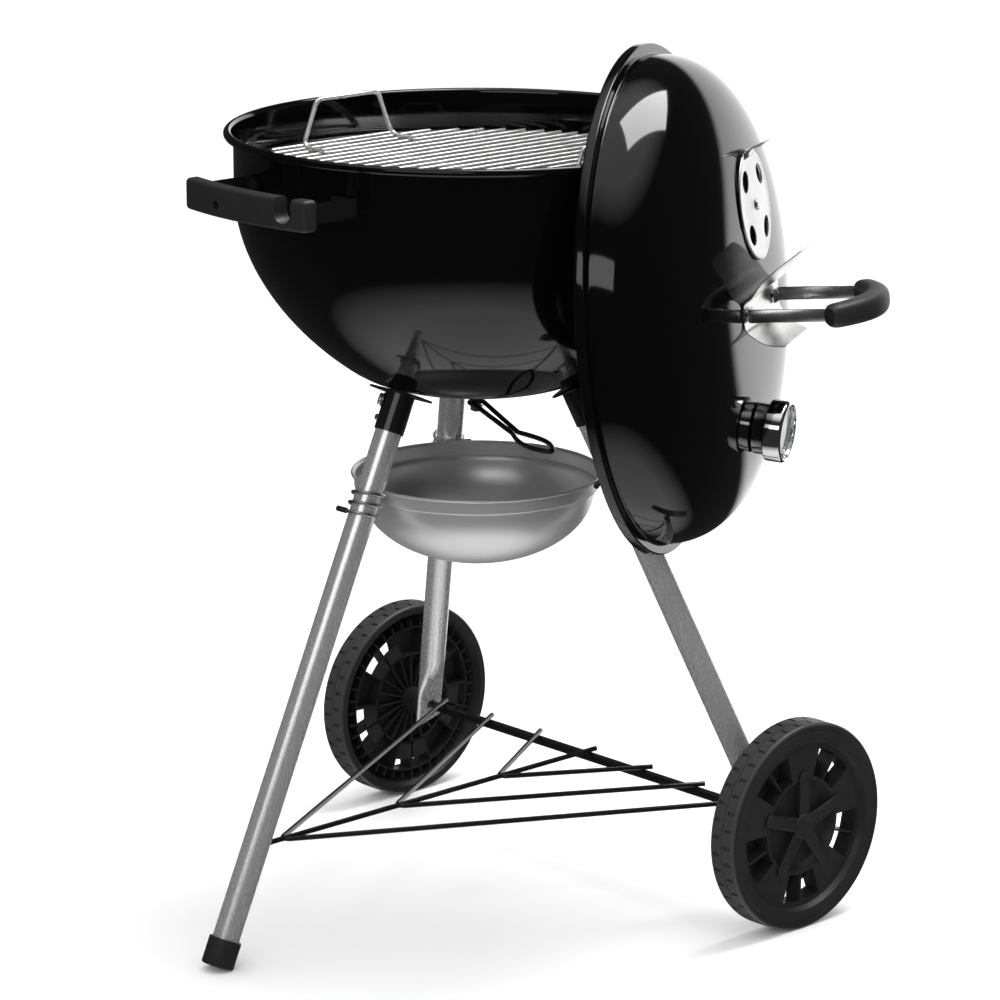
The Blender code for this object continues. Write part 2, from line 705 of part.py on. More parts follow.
# ---------------------------------------------------------------- ash sweeper
def build_sweeper():
    """Blades inside, shaft through the floor, bushing, lever and nut below."""
    body = add_body("sweeper_body", (0, 0, BOWL_FLOOR))
    place = carried(body, Matrix.Identity(4))
    seat = BOWL_FLOOR + SHEET + BLADE_GAP
    hole = SHAFT_RADIUS + GAP
    hub = [(hole, seat), (hole, seat + BLADE_SHEET), (0.0160, seat + BLADE_SHEET), (0.0160, seat)]
    sweeper = add_object("ash_sweeper", turned("ash_sweeper", hub, 18), LEG_STEEL, body, place)
    radii = [0.0090, 0.0300, 0.0500, 0.0700, 0.0900, 0.1080, BLADE_REACH]
    lift = SHEET * 1.15 + BLADE_GAP + BLADE_SHEET / 2
    path = [(radius, bowl_height(math.hypot(radius, BLADE_WIDTH / 2)) + lift) for radius in radii]
    path[0] = (radii[0], seat + BLADE_SHEET / 2 + GAP)
    for number, angle in enumerate((90.0, 210.0, 330.0), start=1):
        name = f"sweeper_blade_{number}"
        mesh = strip_mesh(name, path, BLADE_WIDTH, BLADE_SHEET)
        blade = add_object(name, moved_mesh(mesh, Matrix.Rotation(math.radians(angle - 90), 4, "Z")))
        join(sweeper, blade)

    lever_z = BOWL_FLOOR - GAP - BUSHING[1] - GAP - LEVER_WIRE
    nut_top = lever_z - LEVER_WIRE - GAP
    end = nut_top - NUT_HEIGHT - 0.001
    head = seat + BLADE_SHEET + GAP
    shaft = [(0, end), (SHAFT_RADIUS, end), (SHAFT_RADIUS, head), (SHAFT_HEAD[0], head),
             (SHAFT_HEAD[0] * 0.8, head + SHAFT_HEAD[1]), (0, head + SHAFT_HEAD[1])]
    add_object("sweeper_shaft", turned("sweeper_shaft", shaft, 16), LEG_STEEL, body, place)
    top = BOWL_FLOOR - 2 * GAP
    tube = [(hole, top), (BUSHING[0], top), (BUSHING[0], top - BUSHING[1] + GAP), (hole, top - BUSHING[1] + GAP)]
    add_object("sweeper_bushing", turned("sweeper_bushing", tube, 16), LEG_STEEL)
    nut = prism("sweeper_nut", polygon(NUT_RADIUS, 6), nut_top - NUT_HEIGHT, nut_top)
    nut_piece = add_object("sweeper_nut", nut, LEG_STEEL, body, place)
    bore = prism("nut_bore", polygon(hole, 16), nut_top - NUT_HEIGHT - 0.01, nut_top + 0.01)
    cut(nut_piece, add_object("nut_bore", bore))
    turn = Matrix.Rotation(math.radians(LEVER_AZIMUTH), 4, "Z")
    add_object("sweeper_lever", swept("sweeper_lever", lever_path(lever_z), LEVER_WIRE, 6, closed=True),
               BLACK_STEEL, body, carried(body, turn))


def lever_path(height):
    """A hairpin around the shaft that opens into a teardrop finger loop."""
    eye = SHAFT_RADIUS + 2 * GAP + LEVER_WIRE
    bend, tip = Vector((LEVER_BEND[0], height - LEVER_BEND[1])), Vector((LEVER_TIP[0], height - LEVER_TIP[1]))
    narrow = LEVER_WIRE * 1.35
    around = [(eye * math.cos(a), eye * math.sin(a), height)
              for a in (math.radians(angle) for angle in (60, 105, 150, 180))]
    upper = [(bend.x, narrow, bend.y)]
    for share, width in ((0.3, 0.75), (0.6, 1.0), (0.88, 0.6)):
        upper.append((bend.x + (tip.x - bend.x) * share, LEVER_LOOP * width, bend.y + (tip.y - bend.y) * share))
    one_side = around[::-1] + upper
    other_side = [(x, -y, z) for x, y, z in (around[:-1][::-1] + upper)]
    return one_side + [(tip.x, 0, tip.y)] + other_side[::-1]


# ---------------------------------------------------------------- legs, sockets, axle and rack
def fastener_matrix(which, station):
    """Local Z points out of the leg at a station along it, turned round it towards the next leg."""
    frame, _ = leg_frame(which)
    turn = Matrix.Rotation(math.radians(FASTENER_TURN[which]), 4, "Z")
    return frame @ Matrix.Translation((0, 0, station)) @ turn @ Matrix.Rotation(math.pi / 2, 4, "Y")


def build_socket(which):
    """Sleeve and welded plate under the bowl, with its bolt hole and button hole."""
    frame, _ = leg_frame(which)
    bore = LEG_RADIUS + GAP
    outside = bore + SOCKET_WALL
    top = 4 * GAP + SOCKET_PLATE[2] / 2
    tube = [(bore, top), (outside, top), (outside, SOCKET_LENGTH), (bore, SOCKET_LENGTH)]
    name = f"leg_socket_{which}"
    socket = add_object(name, turned(name, tube, 20), BLACK_STEEL, matrix=frame)
    plate = box_mesh(f"socket_plate_{which}", SOCKET_PLATE, (0, 0, 4 * GAP + SOCKET_PLATE[2] / 2))
    join(socket, add_object(f"socket_plate_{which}", plate, matrix=frame))
    holes = fastener_holes(which, bore * 0.5, outside * 1.3)
    cut(socket, holes)
    return holes


def fastener_holes(which, start, stop):
    """Cutters for the bolt and the snap button, used by the sleeve and by the leg."""
    meshes = []
    for station, radius in ((BOLT_STATION, BOLT_SHANK + 2 * GAP), (BUTTON_STATION, BUTTON_RADIUS + 2 * GAP)):
        hole = prism("hole", polygon(radius, 12), start, stop)
        meshes.append(moved_mesh(hole, fastener_matrix(which, station)))
    name = f"fastener_holes_{which}"
    return add_object(name, joined(name, meshes))


def build_fasteners(outside):
    """Hex bolts through the sleeves, and the spring buttons that lock the legs."""
    inside = LEG_RADIUS - 2.5 * LEG_WALL
    for which in LEGS:
        head = prism("head", polygon(0.0058, 6), outside + GAP, outside + GAP + 0.0040)
        shank = prism("shank", polygon(BOLT_SHANK, 10), inside, outside + 0.0030)
        at = fastener_matrix(which, BOLT_STATION)
        bolt = add_object(f"socket_bolt_{which}", head, BRIGHT_WIRE, matrix=at)
        join(bolt, add_object(f"socket_bolt_shank_{which}", shank, matrix=at))
        body = add_body(f"snap_button_{which}_body", fastener_matrix(which, BUTTON_STATION))
        tip = outside + 0.0026
        profile = [(0, inside), (BUTTON_RADIUS, inside), (BUTTON_RADIUS, tip - 0.0012),
                   (BUTTON_RADIUS * 0.6, tip), (0, tip)]
        name = f"snap_button_{which}"
        add_object(name, turned(name, profile, 12), BRIGHT_WIRE, body)


def build_front_leg(holes):
    frame, length = leg_frame("front")
    inner = LEG_RADIUS - LEG_WALL
    down = frame.to_3x3() @ Vector((0, 0, 1))
    end = length - CAP_LIFT / -down.z - CAP_FOOT - GAP
    tube = [(inner, LEG_START), (LEG_RADIUS, LEG_START), (LEG_RADIUS, end), (inner, end)]
    leg = add_object("front_leg", turned("front_leg", tube, 20), LEG_STEEL, matrix=frame)
    cut(leg, holes)
    height = rack_height()
    spine = rods_mesh("rack_hole", [((0, -FOOT_REACH, height), (0, 0, height))], RACK_WIRE + 2 * GAP, 10)
    station = height / -down.z
    axis_y = -FOOT_REACH - down.y * station
    keep = Matrix.Translation((0, axis_y + FOOT_REACH, 0))
    cut(leg, add_object("rack_hole", moved_mesh(spine, keep)))
    build_foot_cap(frame, length, end)
    return axis_y


def build_foot_cap(frame, length, tube_end):
    """A plastic cup over the leg's end, worn flat where it meets the floor."""
    bore, outside = LEG_RADIUS + GAP, LEG_RADIUS + GAP + CAP_WALL
    bottom = tube_end + GAP + CAP_FOOT
    cup = [(bore, bottom - CAP_LENGTH), (outside, bottom - CAP_LENGTH), (outside, bottom),
           (0, bottom), (0, bottom - CAP_FOOT), (bore, bottom - CAP_FOOT)]
    cap = add_object("foot_cap", turned("foot_cap", cup, 20), NYLON, matrix=frame)
    floor = box_mesh("floor_cut", (0.1, 0.1, 0.05), (0, -FOOT_REACH, -0.025))
    cut(cap, add_object("floor_cut", floor))


def build_wheel_leg(which, holes):
    """A tube whose lower end is pressed flat around the axle."""
    frame, length = leg_frame(which)
    sides = 20
    into = frame.to_3x3().inverted() @ Vector((1, 0, 0))
    flat = Vector((into.x, into.y, 0)).normalized()
    wide = Vector((-flat.y, flat.x, 0))

    def ring_points(station, share, inset):
        """A section that turns from a circle (share 0) into a flat palm (share 1)."""
        half_wide = LEG_RADIUS + (PALM_WIDTH / 2 - LEG_RADIUS) * share - inset
        half_flat = LEG_RADIUS + (PALM_THICKNESS / 2 - LEG_RADIUS) * share - inset
        points = []
        for k in range(sides):
            angle = 2 * math.pi * k / sides
            power = 1 - 0.45 * share
            a = math.copysign(abs(math.cos(angle)) ** power, math.cos(angle))
            b = math.copysign(abs(math.sin(angle)) ** power, math.sin(angle))
            points.append(wide * (half_wide * a) + flat * (half_flat * b) + Vector((0, 0, station)))
        return points

    flare = length - FLARE_LENGTH
    palm = length - PALM_LENGTH * 0.9
    outer = [(LEG_START, 0.0), (flare, 0.0), (flare + (palm - flare) * 0.35, 0.25),
             (flare + (palm - flare) * 0.7, 0.75), (palm, 1.0), (length + PALM_LENGTH, 1.0)]
    inner = [(LEG_START, 0.0), (flare, 0.0)]
    bm = bmesh.new()
    outside = [[bm.verts.new(p) for p in ring_points(at, share, 0.0)] for at, share in outer]
    inside = [[bm.verts.new(p) for p in ring_points(at, share, LEG_WALL)] for at, share in inner]
    for low, high in list(zip(outside, outside[1:])) + list(zip(inside, inside[1:])):
        for k in range(sides):
            bm.faces.new((low[k - 1], low[k], high[k], high[k - 1]))
    for k in range(sides):
        bm.faces.new((outside[0][k - 1], outside[0][k], inside[0][k], inside[0][k - 1]))
    bm.faces.new(outside[-1])
    bm.faces.new(inside[-1])
    name = f"wheel_leg_{which}"
    leg = add_object(name, to_mesh(name, bm), LEG_STEEL, matrix=frame)
    cut(leg, holes)
    side = 1 if which == "right" else -1
    span = [((side * (AXLE_X - 0.03), AXLE_Y, WHEEL_RADIUS), (side * (AXLE_X + 0.03), AXLE_Y, WHEEL_RADIUS))]
    hole = rods_mesh(f"axle_hole_{which}", span, AXLE_RADIUS + 2 * GAP, 16)
    cut(leg, add_object(f"axle_hole_{which}", hole))


def rack_height():
    """The rack's wires lie on top of the axle."""
    return WHEEL_RADIUS + AXLE_RADIUS + GAP + RACK_WIRE


def build_axle_and_rack(leg_y):
    outer = WHEEL_INNER_X + WHEEL_WIDTH
    tip = outer - HUB_TOP_DEPTH + 0.0030
    span = [((-tip, AXLE_Y, WHEEL_RADIUS), (tip, AXLE_Y, WHEEL_RADIUS))]
    add_object("axle", rods_mesh("axle", span, AXLE_RADIUS, 16), BLACK_STEEL)
    for side, which in ((-1, "left"), (1, "right")):
        near = outer - HUB_TOP_DEPTH + GAP
        ring = [(AXLE_RADIUS + GAP, near), (AXLE_RADIUS + GAP, near + 0.0012),
                (0.0092, near + 0.0012), (0.0092, near)]
        turn = frame_matrix(Vector((0, AXLE_Y, WHEEL_RADIUS)), (0, side, 0), (0, 0, 1), (side, 0, 0))
        name = f"axle_clip_{which}"
        add_object(name, turned(name, ring, 16), BRIGHT_WIRE, matrix=turn)

    height = rack_height()
    over = 0.0060
    spine = [((0, leg_y + LEG_RADIUS * 0.7, height), (0, AXLE_Y + over, height))]
    rack = add_object("bottom_rack", rods_mesh("bottom_rack", spine, RACK_WIRE, 8), BLACK_STEEL)
    for number, (vertex, reach) in enumerate(RACK_ARMS, start=1):
        path = [(-reach, AXLE_Y + over, height), (-0.004, vertex + 0.004, height),
                (0, vertex, height), (0.004, vertex + 0.004, height), (reach, AXLE_Y + over, height)]
        name = f"rack_arm_{number}"
        join(rack, add_object(name, swept(name, path, RACK_WIRE, 6)))


# ---------------------------------------------------------------- wheels
def build_wheel(side, which):
    """Moulded wheel with five windows, and the five-armed cap over its hub."""
    turn = frame_matrix(Vector((side * WHEEL_INNER_X, AXLE_Y, WHEEL_RADIUS)), (0, side, 0), (0, 0, 1), (side, 0, 0))
    body = add_body(f"wheel_{which}_body", turn)
    width, pad = WHEEL_WIDTH, WHEEL_WIDTH - WHEEL_PAD_DEPTH
    well, hub_top = WHEEL_WIDTH - WHEEL_WELL_DEPTH, WHEEL_WIDTH - HUB_TOP_DEPTH
    bore = AXLE_RADIUS + GAP
    profile = [
        (bore, -HUB_INNER), (HUB_RADIUS, -HUB_INNER), (HUB_RADIUS, well - WHEEL_WEB),
        (WHEEL_PAD_RADIUS, well - WHEEL_WEB), (WHEEL_PAD_RADIUS + 0.003, pad - WHEEL_WEB),
        (WHEEL_DISH_RADIUS + 0.003, pad - WHEEL_WEB), (WHEEL_RADIUS - 0.0085, 0.0),
        (WHEEL_RADIUS - 0.0025, 0.0), (WHEEL_RADIUS, 0.0030), (WHEEL_RADIUS, width - 0.0030),
        (WHEEL_RADIUS - 0.0025, width), (WHEEL_DISH_RADIUS + 0.003, width),
        (WHEEL_DISH_RADIUS, pad), (WHEEL_PAD_RADIUS, pad), (WHEEL_PAD_RADIUS - 0.004, well),
        (HUB_RADIUS, well), (HUB_RADIUS, hub_top), (bore, hub_top),
    ]
    name = f"wheel_{which}"
    wheel = add_object(name, turned(name, profile, 36), WHEEL_PLASTIC, body)
    windows = [
        prism("window", sector(*WINDOW_RADII, 90 + (k + 0.5) * 360 / SPOKES, WINDOW_WIDTH_DEG, 3), -0.01, width + 0.01)
        for k in range(SPOKES)
    ]
    windows_name = f"wheel_windows_{which}"
    cut(wheel, add_object(windows_name, joined(windows_name, windows), parent=body))

    low = pad + GAP
    cap_name = f"hub_cap_{which}"
    boss = [(0, low), (HUB_RADIUS, low), (HUB_RADIUS, low + 0.0035), (HUB_RADIUS - 0.002, low + 0.0048),
            (0, low + 0.0048)]
    cap = add_object(cap_name, turned(cap_name, boss, 20), WHEEL_PLASTIC, body)
    arms = []
    for k in range(SPOKES):
        arm = box_mesh("arm", (STAR_ARM, STAR_RADIUS - 0.008, STAR_THICKNESS),
                       (0, (STAR_RADIUS + 0.008) / 2, low + STAR_THICKNESS / 2 + GAP))
        arms.append(moved_mesh(arm, Matrix.Rotation(2 * math.pi * k / SPOKES, 4, "Z")))
    arms_name = f"hub_arms_{which}"
    join(cap, add_object(arms_name, joined(arms_name, arms), parent=body))


# ---------------------------------------------------------------- ash pan and clamps
def build_ash_pan():
    body = add_body("ash_pan_body", (0, 0, PAN_HEIGHT))
    lip = 0.0014
    band = PAN_RADIUS - 2 * lip - 0.0004
    base = PAN_HEIGHT - PAN_BAND
    bowl = band - PAN_STEP
    skin = [(band, PAN_HEIGHT - lip), (band, base), (bowl, base - 0.002)]
    for angle in superellipse_angles(5)[1:]:
        skin.append((bowl * math.cos(angle), base - 0.002 - PAN_DEPTH * math.sin(angle)))
    bead = bead_points(PAN_RADIUS - lip, PAN_HEIGHT, lip, 160, -130, 4)
    outline = bead + skin + shell_outline(skin, PAN_SHEET)[::-1]
    pan = turned("ash_pan", outline, 32)
    add_object("ash_pan", pan, ALUMINIUM, body, carried(body, Matrix.Identity(4)))


def build_clamp(which):
    """Spring wire wound round a leg, with two ears to squeeze and a finger against the pan's lip."""
    frame, _ = leg_frame(which)
    coil = LEG_RADIUS + 2 * GAP + CLAMP_WIRE
    per_turn = 16
    lip_z = PAN_HEIGHT - CLAMP_WIRE
    first = (lip_z - frame.translation.z + coil * frame[2][0]) / frame[2][2]
    points = []
    for k in range(int(CLAMP_TURNS * per_turn) + 1):
        angle = math.pi + 2 * math.pi * k / per_turn
        station = first + CLAMP_PITCH * k / per_turn
        points.append(Vector((coil * math.cos(angle), coil * math.sin(angle), station)))
    ear = Vector((0, CLAMP_EAR, 0))
    path = [points[0] + ear] + points + [points[-1] + ear]
    name = f"pan_clamp_{which}"
    clamp = add_object(name, swept(name, path, CLAMP_WIRE, 5), BRIGHT_WIRE, matrix=frame)
    start = frame @ points[0]
    reach = math.hypot(start.x, start.y)
    end = Vector((start.x, start.y, 0)) * ((PAN_RADIUS + 2 * GAP) / reach) + Vector((0, 0, start.z))
    finger_name = f"clamp_finger_{which}"
    join(clamp, add_object(finger_name, rods_mesh(finger_name, [(start, end)], CLAMP_WIRE * 0.9, 8)))


# ---------------------------------------------------------------- lid and its fittings
def lid_skin():
    """The lid's outer skin from its rim to the pole, as (radius, depth)."""
    power = LID_CURVE_POWERS[1]
    corner = 0.0020
    points = [(LID_RADIUS, corner), (LID_RADIUS, LID_BAND - corner), (LID_RADIUS - corner, LID_BAND),
              (LID_DOME_RADIUS + corner, LID_BAND), (LID_DOME_RADIUS, LID_BAND + corner)]
    for angle in superellipse_angles(10)[1:-1]:
        radius = LID_DOME_RADIUS * math.cos(angle) ** (2 / power)
        points.append((radius, lid_depth(radius)))
    return points[:5] + [point for point in points[5:] if point[1] > LID_BAND + 3 * corner] + [(0.0, LID_DOME_HEIGHT)]


def in_lid(radial, height):
    """A point of the vertical plane through the kettle and lid axes, as (up, depth) on the lid."""
    tilt = math.radians(LID_TILT)
    out, rise = radial - LID_DISTANCE, height - LID_HEIGHT
    return rise * math.cos(tilt) - out * math.sin(tilt), out * math.cos(tilt) + rise * math.sin(tilt)


def build_lid():
    """The hung lid, with its hook and every fitting riding on it."""
    body = add_body("lid_body", lid_frame())
    skin = lid_skin()
    bead = bead_points(LID_RADIUS - LID_BEAD, LID_BEAD, LID_BEAD, 180, 360, 3)
    inner = shell_outline(skin, -SHEET)
    inner[0] = (LID_RADIUS - 2 * LID_BEAD, LID_BEAD)
    outline = bead[1:] + skin[1:] + inner[::-1]
    lid = add_object("lid", turned("lid", outline, BOWL_SEGMENTS), STEEL_BLACK, body)
    openings = []
    damper = on_dome(DAMPER_SIDE, DAMPER_UP)
    thermo = on_dome(THERMO_SIDE, -THERMO_DOWN)
    for k in range(4):
        hole = prism("vent", polygon(DAMPER_HOLE - 0.001, 16), -0.02, 0.02)
        turn = Matrix.Rotation(math.radians(45 + 90 * k), 4, "Z")
        openings.append(moved_mesh(hole, damper @ turn @ Matrix.Translation((DAMPER_HOLE_CIRCLE, 0, 0))))
    openings.append(moved_mesh(prism("rivet_hole", polygon(RIVET[0] + GAP, 12), -0.02, 0.02), damper))
    openings.append(moved_mesh(prism("probe_hole", polygon(PROBE_RADIUS + GAP, 12), -0.02, 0.02), thermo))
    openings += [moved_mesh(hole, lid_pole()) for hole in handle_holes(0.02)]
    cut(lid, add_object("lid_openings", joined("lid_openings", openings), parent=body))
    build_hook(body)
    build_damper(body, damper)
    build_lid_handle(body)
    build_thermometer(body, thermo)


def lid_pole():
    """Placing matrix of the handle, on the middle of the dome."""
    return Matrix.Translation((0, -LID_HANDLE_DOWN, LID_DOME_HEIGHT))


def build_hook(body):
    """A welded strip inside the lid that hangs over the bowl's rim."""
    half = HOOK_SHEET / 2
    seat = RIM_HEIGHT + RIM_BEAD + GAP + half
    slope = (RIM_BEAD + 2 * GAP + half) / math.sqrt(2)
    corner = RIM_RING - slope
    entry = seat - (RIM_HEIGHT + slope)
    path = []
    for up in (0.196, 0.186, 0.176):
        depth = lid_depth(up) - SHEET
        fall = (lid_depth(up + 0.001) - lid_depth(up - 0.001)) / 0.002
        out = half + 3 * GAP + SHEET * (math.hypot(1, fall) - 1)
        path.append((up + out * fall / math.hypot(1, fall), depth - out / math.hypot(1, fall)))
    path.append(in_lid(RIM_RADIUS + 0.0045, seat + 0.0030))
    path.append(in_lid(RIM_RADIUS + 0.0015, seat))
    path.append(in_lid(corner + entry, seat))
    path.append(in_lid(corner - HOOK_REACH, RIM_HEIGHT + slope - HOOK_REACH))
    add_object("lid_hook", strip_mesh("lid_hook", path, HOOK_WIDTH, HOOK_SHEET), LEG_STEEL, body)


def build_damper(body, place):
    """A round slide with four holes and a lifted tab, turning on a rivet."""
    damper_body = add_body("lid_damper_body", place, body)
    lift = 0.0009
    drop = DAMPER_RADIUS ** 2 / (2 * DAMPER_DISH)
    hole = RIVET[0] + GAP
    profile = [(hole, lift), (hole, lift + DAMPER_SHEET), (DAMPER_RADIUS / 2, lift + DAMPER_SHEET - drop / 4),
               (DAMPER_RADIUS, lift + DAMPER_SHEET - drop), (DAMPER_RADIUS, lift - drop),
               (DAMPER_RADIUS / 2, lift - drop / 4)]
    damper = add_object("lid_damper", turned("lid_damper", profile, 36), ALUMINIUM, damper_body)
    holes = []
    for k in range(4):
        angle = math.radians(45 + 90 * k)
        centre = (DAMPER_HOLE_CIRCLE * math.cos(angle), DAMPER_HOLE_CIRCLE * math.sin(angle), 0)
        holes.append(moved_mesh(prism("hole", polygon(DAMPER_HOLE, 16), -0.01, 0.01), Matrix.Translation(centre)))
    cut(damper, add_object("damper_holes", joined("damper_holes", holes), parent=damper_body))
    base = lift + DAMPER_SHEET / 2 - drop * 0.8
    path = [(y, base + z) for y, z in DAMPER_TAB]
    tab = strip_mesh("damper_tab", path, DAMPER_TAB_WIDTH, DAMPER_SHEET * 0.8)
    join(damper, add_object("damper_tab", tab, parent=damper_body))
    shank, head, height = RIVET
    top = lift + DAMPER_SHEET + GAP
    under = -SHEET - 2 * GAP
    rivet = [(0, under - height), (head * 0.8, under - height), (head * 0.8, under), (shank, under),
             (shank, top), (head, top), (head * 0.75, top + height), (0, top + height)]
    add_object("damper_rivet", turned("damper_rivet", rivet, 16), BRIGHT_WIRE, body, place)


def handle_holes(reach):
    """Cutters for the handle's two bolts."""
    holes = []
    for sign in (-1, 1):
        hole = prism("bolt_hole", polygon(HANDLE_BOLT[0] + GAP, 12), -reach, reach)
        holes.append(moved_mesh(hole, Matrix.Translation((sign * HANDLE_BOLT_SPAN, 0, 0))))
    return holes


def build_lid_handle(body):
    """Heat shield, two straps, two bolts and the bowed grip."""
    pole = lid_pole()
    seat = GAP + SHIELD_SHEET / 2
    path = [(y, seat + z) for y, z in SHIELD_CURVE]
    shield = add_object("heat_shield", strip_mesh("heat_shield", path, 2 * SHIELD_HALF_WIDTH, SHIELD_SHEET),
                        BRIGHT_WIRE, body, pole)
    cut(shield, add_object("shield_holes", joined("shield_holes", handle_holes(0.01)), parent=body, matrix=pole))
    foot_z = GAP + SHIELD_SHEET + GAP + LID_STRAP_SHEET / 2
    grip_z = foot_z + LID_STRAP_LENGTH
    half = LID_HANDLE_HALF
    sideways = Matrix(((0, 1, 0, 0), (1, 0, 0, 0), (0, 0, 1, 0), (0, 0, 0, 1)))
    shank, head, height = HANDLE_BOLT
    top = foot_z + LID_STRAP_SHEET / 2 + GAP
    low = -SHEET - 2 * GAP - LID_DOME_HEIGHT + lid_depth(math.hypot(HANDLE_BOLT_SPAN, LID_HANDLE_DOWN))
    profile = [(0, low - height), (head, low - height), (head, low), (shank, low), (shank, top),
               (head, top), (head * 0.8, top + height), (0, top + height)]
    bend = 0.0030
    for sign, side in ((-1, "left"), (1, "right")):
        path = [(sign * (half - LID_STRAP_FOOT), foot_z), (sign * (half - bend), foot_z),
                (sign * half, foot_z + bend), (sign * half, grip_z + LID_TANG)]
        name = f"lid_handle_strap_{side}"
        mesh = moved_mesh(strip_mesh(name, path, LID_STRAP_WIDTH, LID_STRAP_SHEET), sideways)
        strap = add_object(name, mesh, BRIGHT_WIRE, body, pole)
        holes = joined(f"strap_hole_{side}", handle_holes(0.01))
        cut(strap, add_object(f"strap_hole_{side}", holes, parent=body, matrix=pole))
        bolt = moved_mesh(turned("bolt", profile, 14), Matrix.Translation((sign * HANDLE_BOLT_SPAN, 0, 0)))
        add_object(f"lid_handle_bolt_{side}", bolt, BRIGHT_WIRE, body, pole)

    steps = 8
    end = half + LID_GRIP_RADIUS * 0.75
    line = []
    for k in range(steps + 1):
        x = end * (2 * k / steps - 1)
        line.append((x, 0, grip_z + LID_GRIP_RADIUS + LID_GRIP_BOW * (1 - (x / end) ** 2)))
    grip = add_object("lid_handle_grip", swept("lid_handle_grip", line, LID_GRIP_RADIUS, 14), NYLON, body, pole)
    slot = (LID_STRAP_SHEET + 2 * GAP, LID_STRAP_WIDTH + 2 * GAP, 2 * LID_TANG + 2 * GAP)
    slots = [box_mesh("slot", slot, (sign * half, 0, grip_z)) for sign in (-1, 1)]
    cut(grip, add_object("grip_slots", joined("grip_slots", slots), parent=body, matrix=pole))


def build_thermometer(body, place):
    """Round gauge in a stepped bezel, its probe through the lid and a nut inside."""
    hole = PROBE_RADIUS + GAP
    wide, slim, deep = THERMO_RADIUS, THERMO_BODY, THERMO_DEPTH
    step = deep * 0.42
    profile = [(hole, GAP), (slim - 0.001, GAP), (slim, 0.0015), (slim, step - 0.001), (wide - 0.001, step),
               (wide, step + 0.001), (wide, deep - 0.0035), (wide - 0.0015, deep - 0.0008), (wide - 0.003, deep),
               (wide - 0.0042, deep - 0.0008), (wide - 0.0042, GLASS_HEIGHT + 0.003),
               (wide - 0.0016, GLASS_HEIGHT + 0.0022), (wide - 0.0016, DIAL_HEIGHT - 0.0015),
               (slim - 0.002, DIAL_HEIGHT - 0.0015), (slim - 0.002, 0.0024), (hole, 0.0024)]
    add_object("thermometer_bezel", turned("thermometer_bezel", profile, 28), CHROME, body, place)
    inside = wide - 0.0016 - GAP
    dial = [(0.0012, DIAL_HEIGHT - 0.0012), (inside, DIAL_HEIGHT - 0.0012), (inside, DIAL_HEIGHT),
            (0.0012, DIAL_HEIGHT)]
    add_object("thermometer_dial", turned("thermometer_dial", dial, 28), PAPER, body, place)
    glass = [(0, GLASS_HEIGHT), (inside, GLASS_HEIGHT), (inside, GLASS_HEIGHT + 0.0018), (0, GLASS_HEIGHT + 0.0018)]
    add_object("thermometer_glass", turned("thermometer_glass", glass, 28), GLASS, body, place)
    rest = Matrix.Rotation(math.radians(POINTER_REST), 4, "Z")
    pointer_body = add_body("pointer_body", place, body)
    low = DIAL_HEIGHT + 0.0012
    hub = [(0, DIAL_HEIGHT - 0.0008), (0.0008, DIAL_HEIGHT - 0.0008), (0.0008, low), (0.0025, low),
           (0.0025, low + 0.0016), (0, low + 0.0016)]
    pointer = add_object("thermometer_pointer", turned("thermometer_pointer", hub, 14), BLACK_STEEL,
                         pointer_body, rest)
    outline = [(-0.0010, -0.0060), (0.0010, -0.0060), (0.0010, 0.0060), (0.0002, 0.0190), (-0.0002, 0.0190),
               (-0.0010, 0.0060)]
    hand = prism("pointer_hand", outline, low + GAP, low + GAP + 0.0008)
    join(pointer, add_object("pointer_hand", hand, parent=pointer_body, matrix=rest))
    top = DIAL_HEIGHT - 0.0012 - 0.0015
    tip = PROBE_RADIUS
    probe = [(0, -PROBE_LENGTH), (tip * 0.5, -PROBE_LENGTH), (tip, -PROBE_LENGTH + tip), (tip, top), (0, top)]
    add_object("thermometer_probe", turned("thermometer_probe", probe, 14), BRIGHT_WIRE, body, place)
    width, thick = PROBE_NUT
    high = -SHEET - 4 * GAP
    nut = add_object("thermometer_nut", prism("thermometer_nut", polygon(width, 6), high - thick, high),
                     BRIGHT_WIRE, body, place)
    bore = prism("thermometer_bore", polygon(hole, 14), high - thick - 0.01, high + 0.01)
    cut(nut, add_object("thermometer_bore", bore, parent=body, matrix=place))


# ---------------------------------------------------------------- whole grill
def centre_on_footprint():
    """Slide the root so that the middle of the overall box stands on the origin."""
    bpy.context.view_layer.update()
    graph = bpy.context.evaluated_depsgraph_get()
    low, high = [math.inf, math.inf], [-math.inf, -math.inf]
    for piece in bpy.data.objects:
        if piece.type != "MESH" or piece.hide_render:
            continue
        shaped = piece.evaluated_get(graph)
        for vertex in shaped.data.vertices:
            point = shaped.matrix_world @ vertex.co
            for axis in (0, 1):
                low[axis] = min(low[axis], point[axis])
                high[axis] = max(high[axis], point[axis])
    ROOT.location = (-(low[0] + high[0]) / 2, -(low[1] + high[1]) / 2, 0)
    bpy.context.view_layer.update()


def main():
    global ROOT
    clear_scene()
    ROOT = bpy.data.objects.new("grill", None)
    bpy.context.collection.objects.link(ROOT)
    build_bowl()
    bowl_handle()
    build_cooking_grate()
    build_charcoal_grate()
    build_sweeper()
    holes = {}
    outside = LEG_RADIUS + GAP + SOCKET_WALL
    for which in LEGS:
        holes[which] = build_socket(which)
    build_fasteners(outside)
    leg_y = build_front_leg(holes["front"])
    build_wheel_leg("left", holes["left"])
    build_wheel_leg("right", holes["right"])
    build_axle_and_rack(leg_y)
    build_wheel(-1, "left")
    build_wheel(1, "right")
    build_ash_pan()
    for which in LEGS:
        build_clamp(which)
    build_lid()
    centre_on_footprint()


if __name__ == "__main__":
    main()
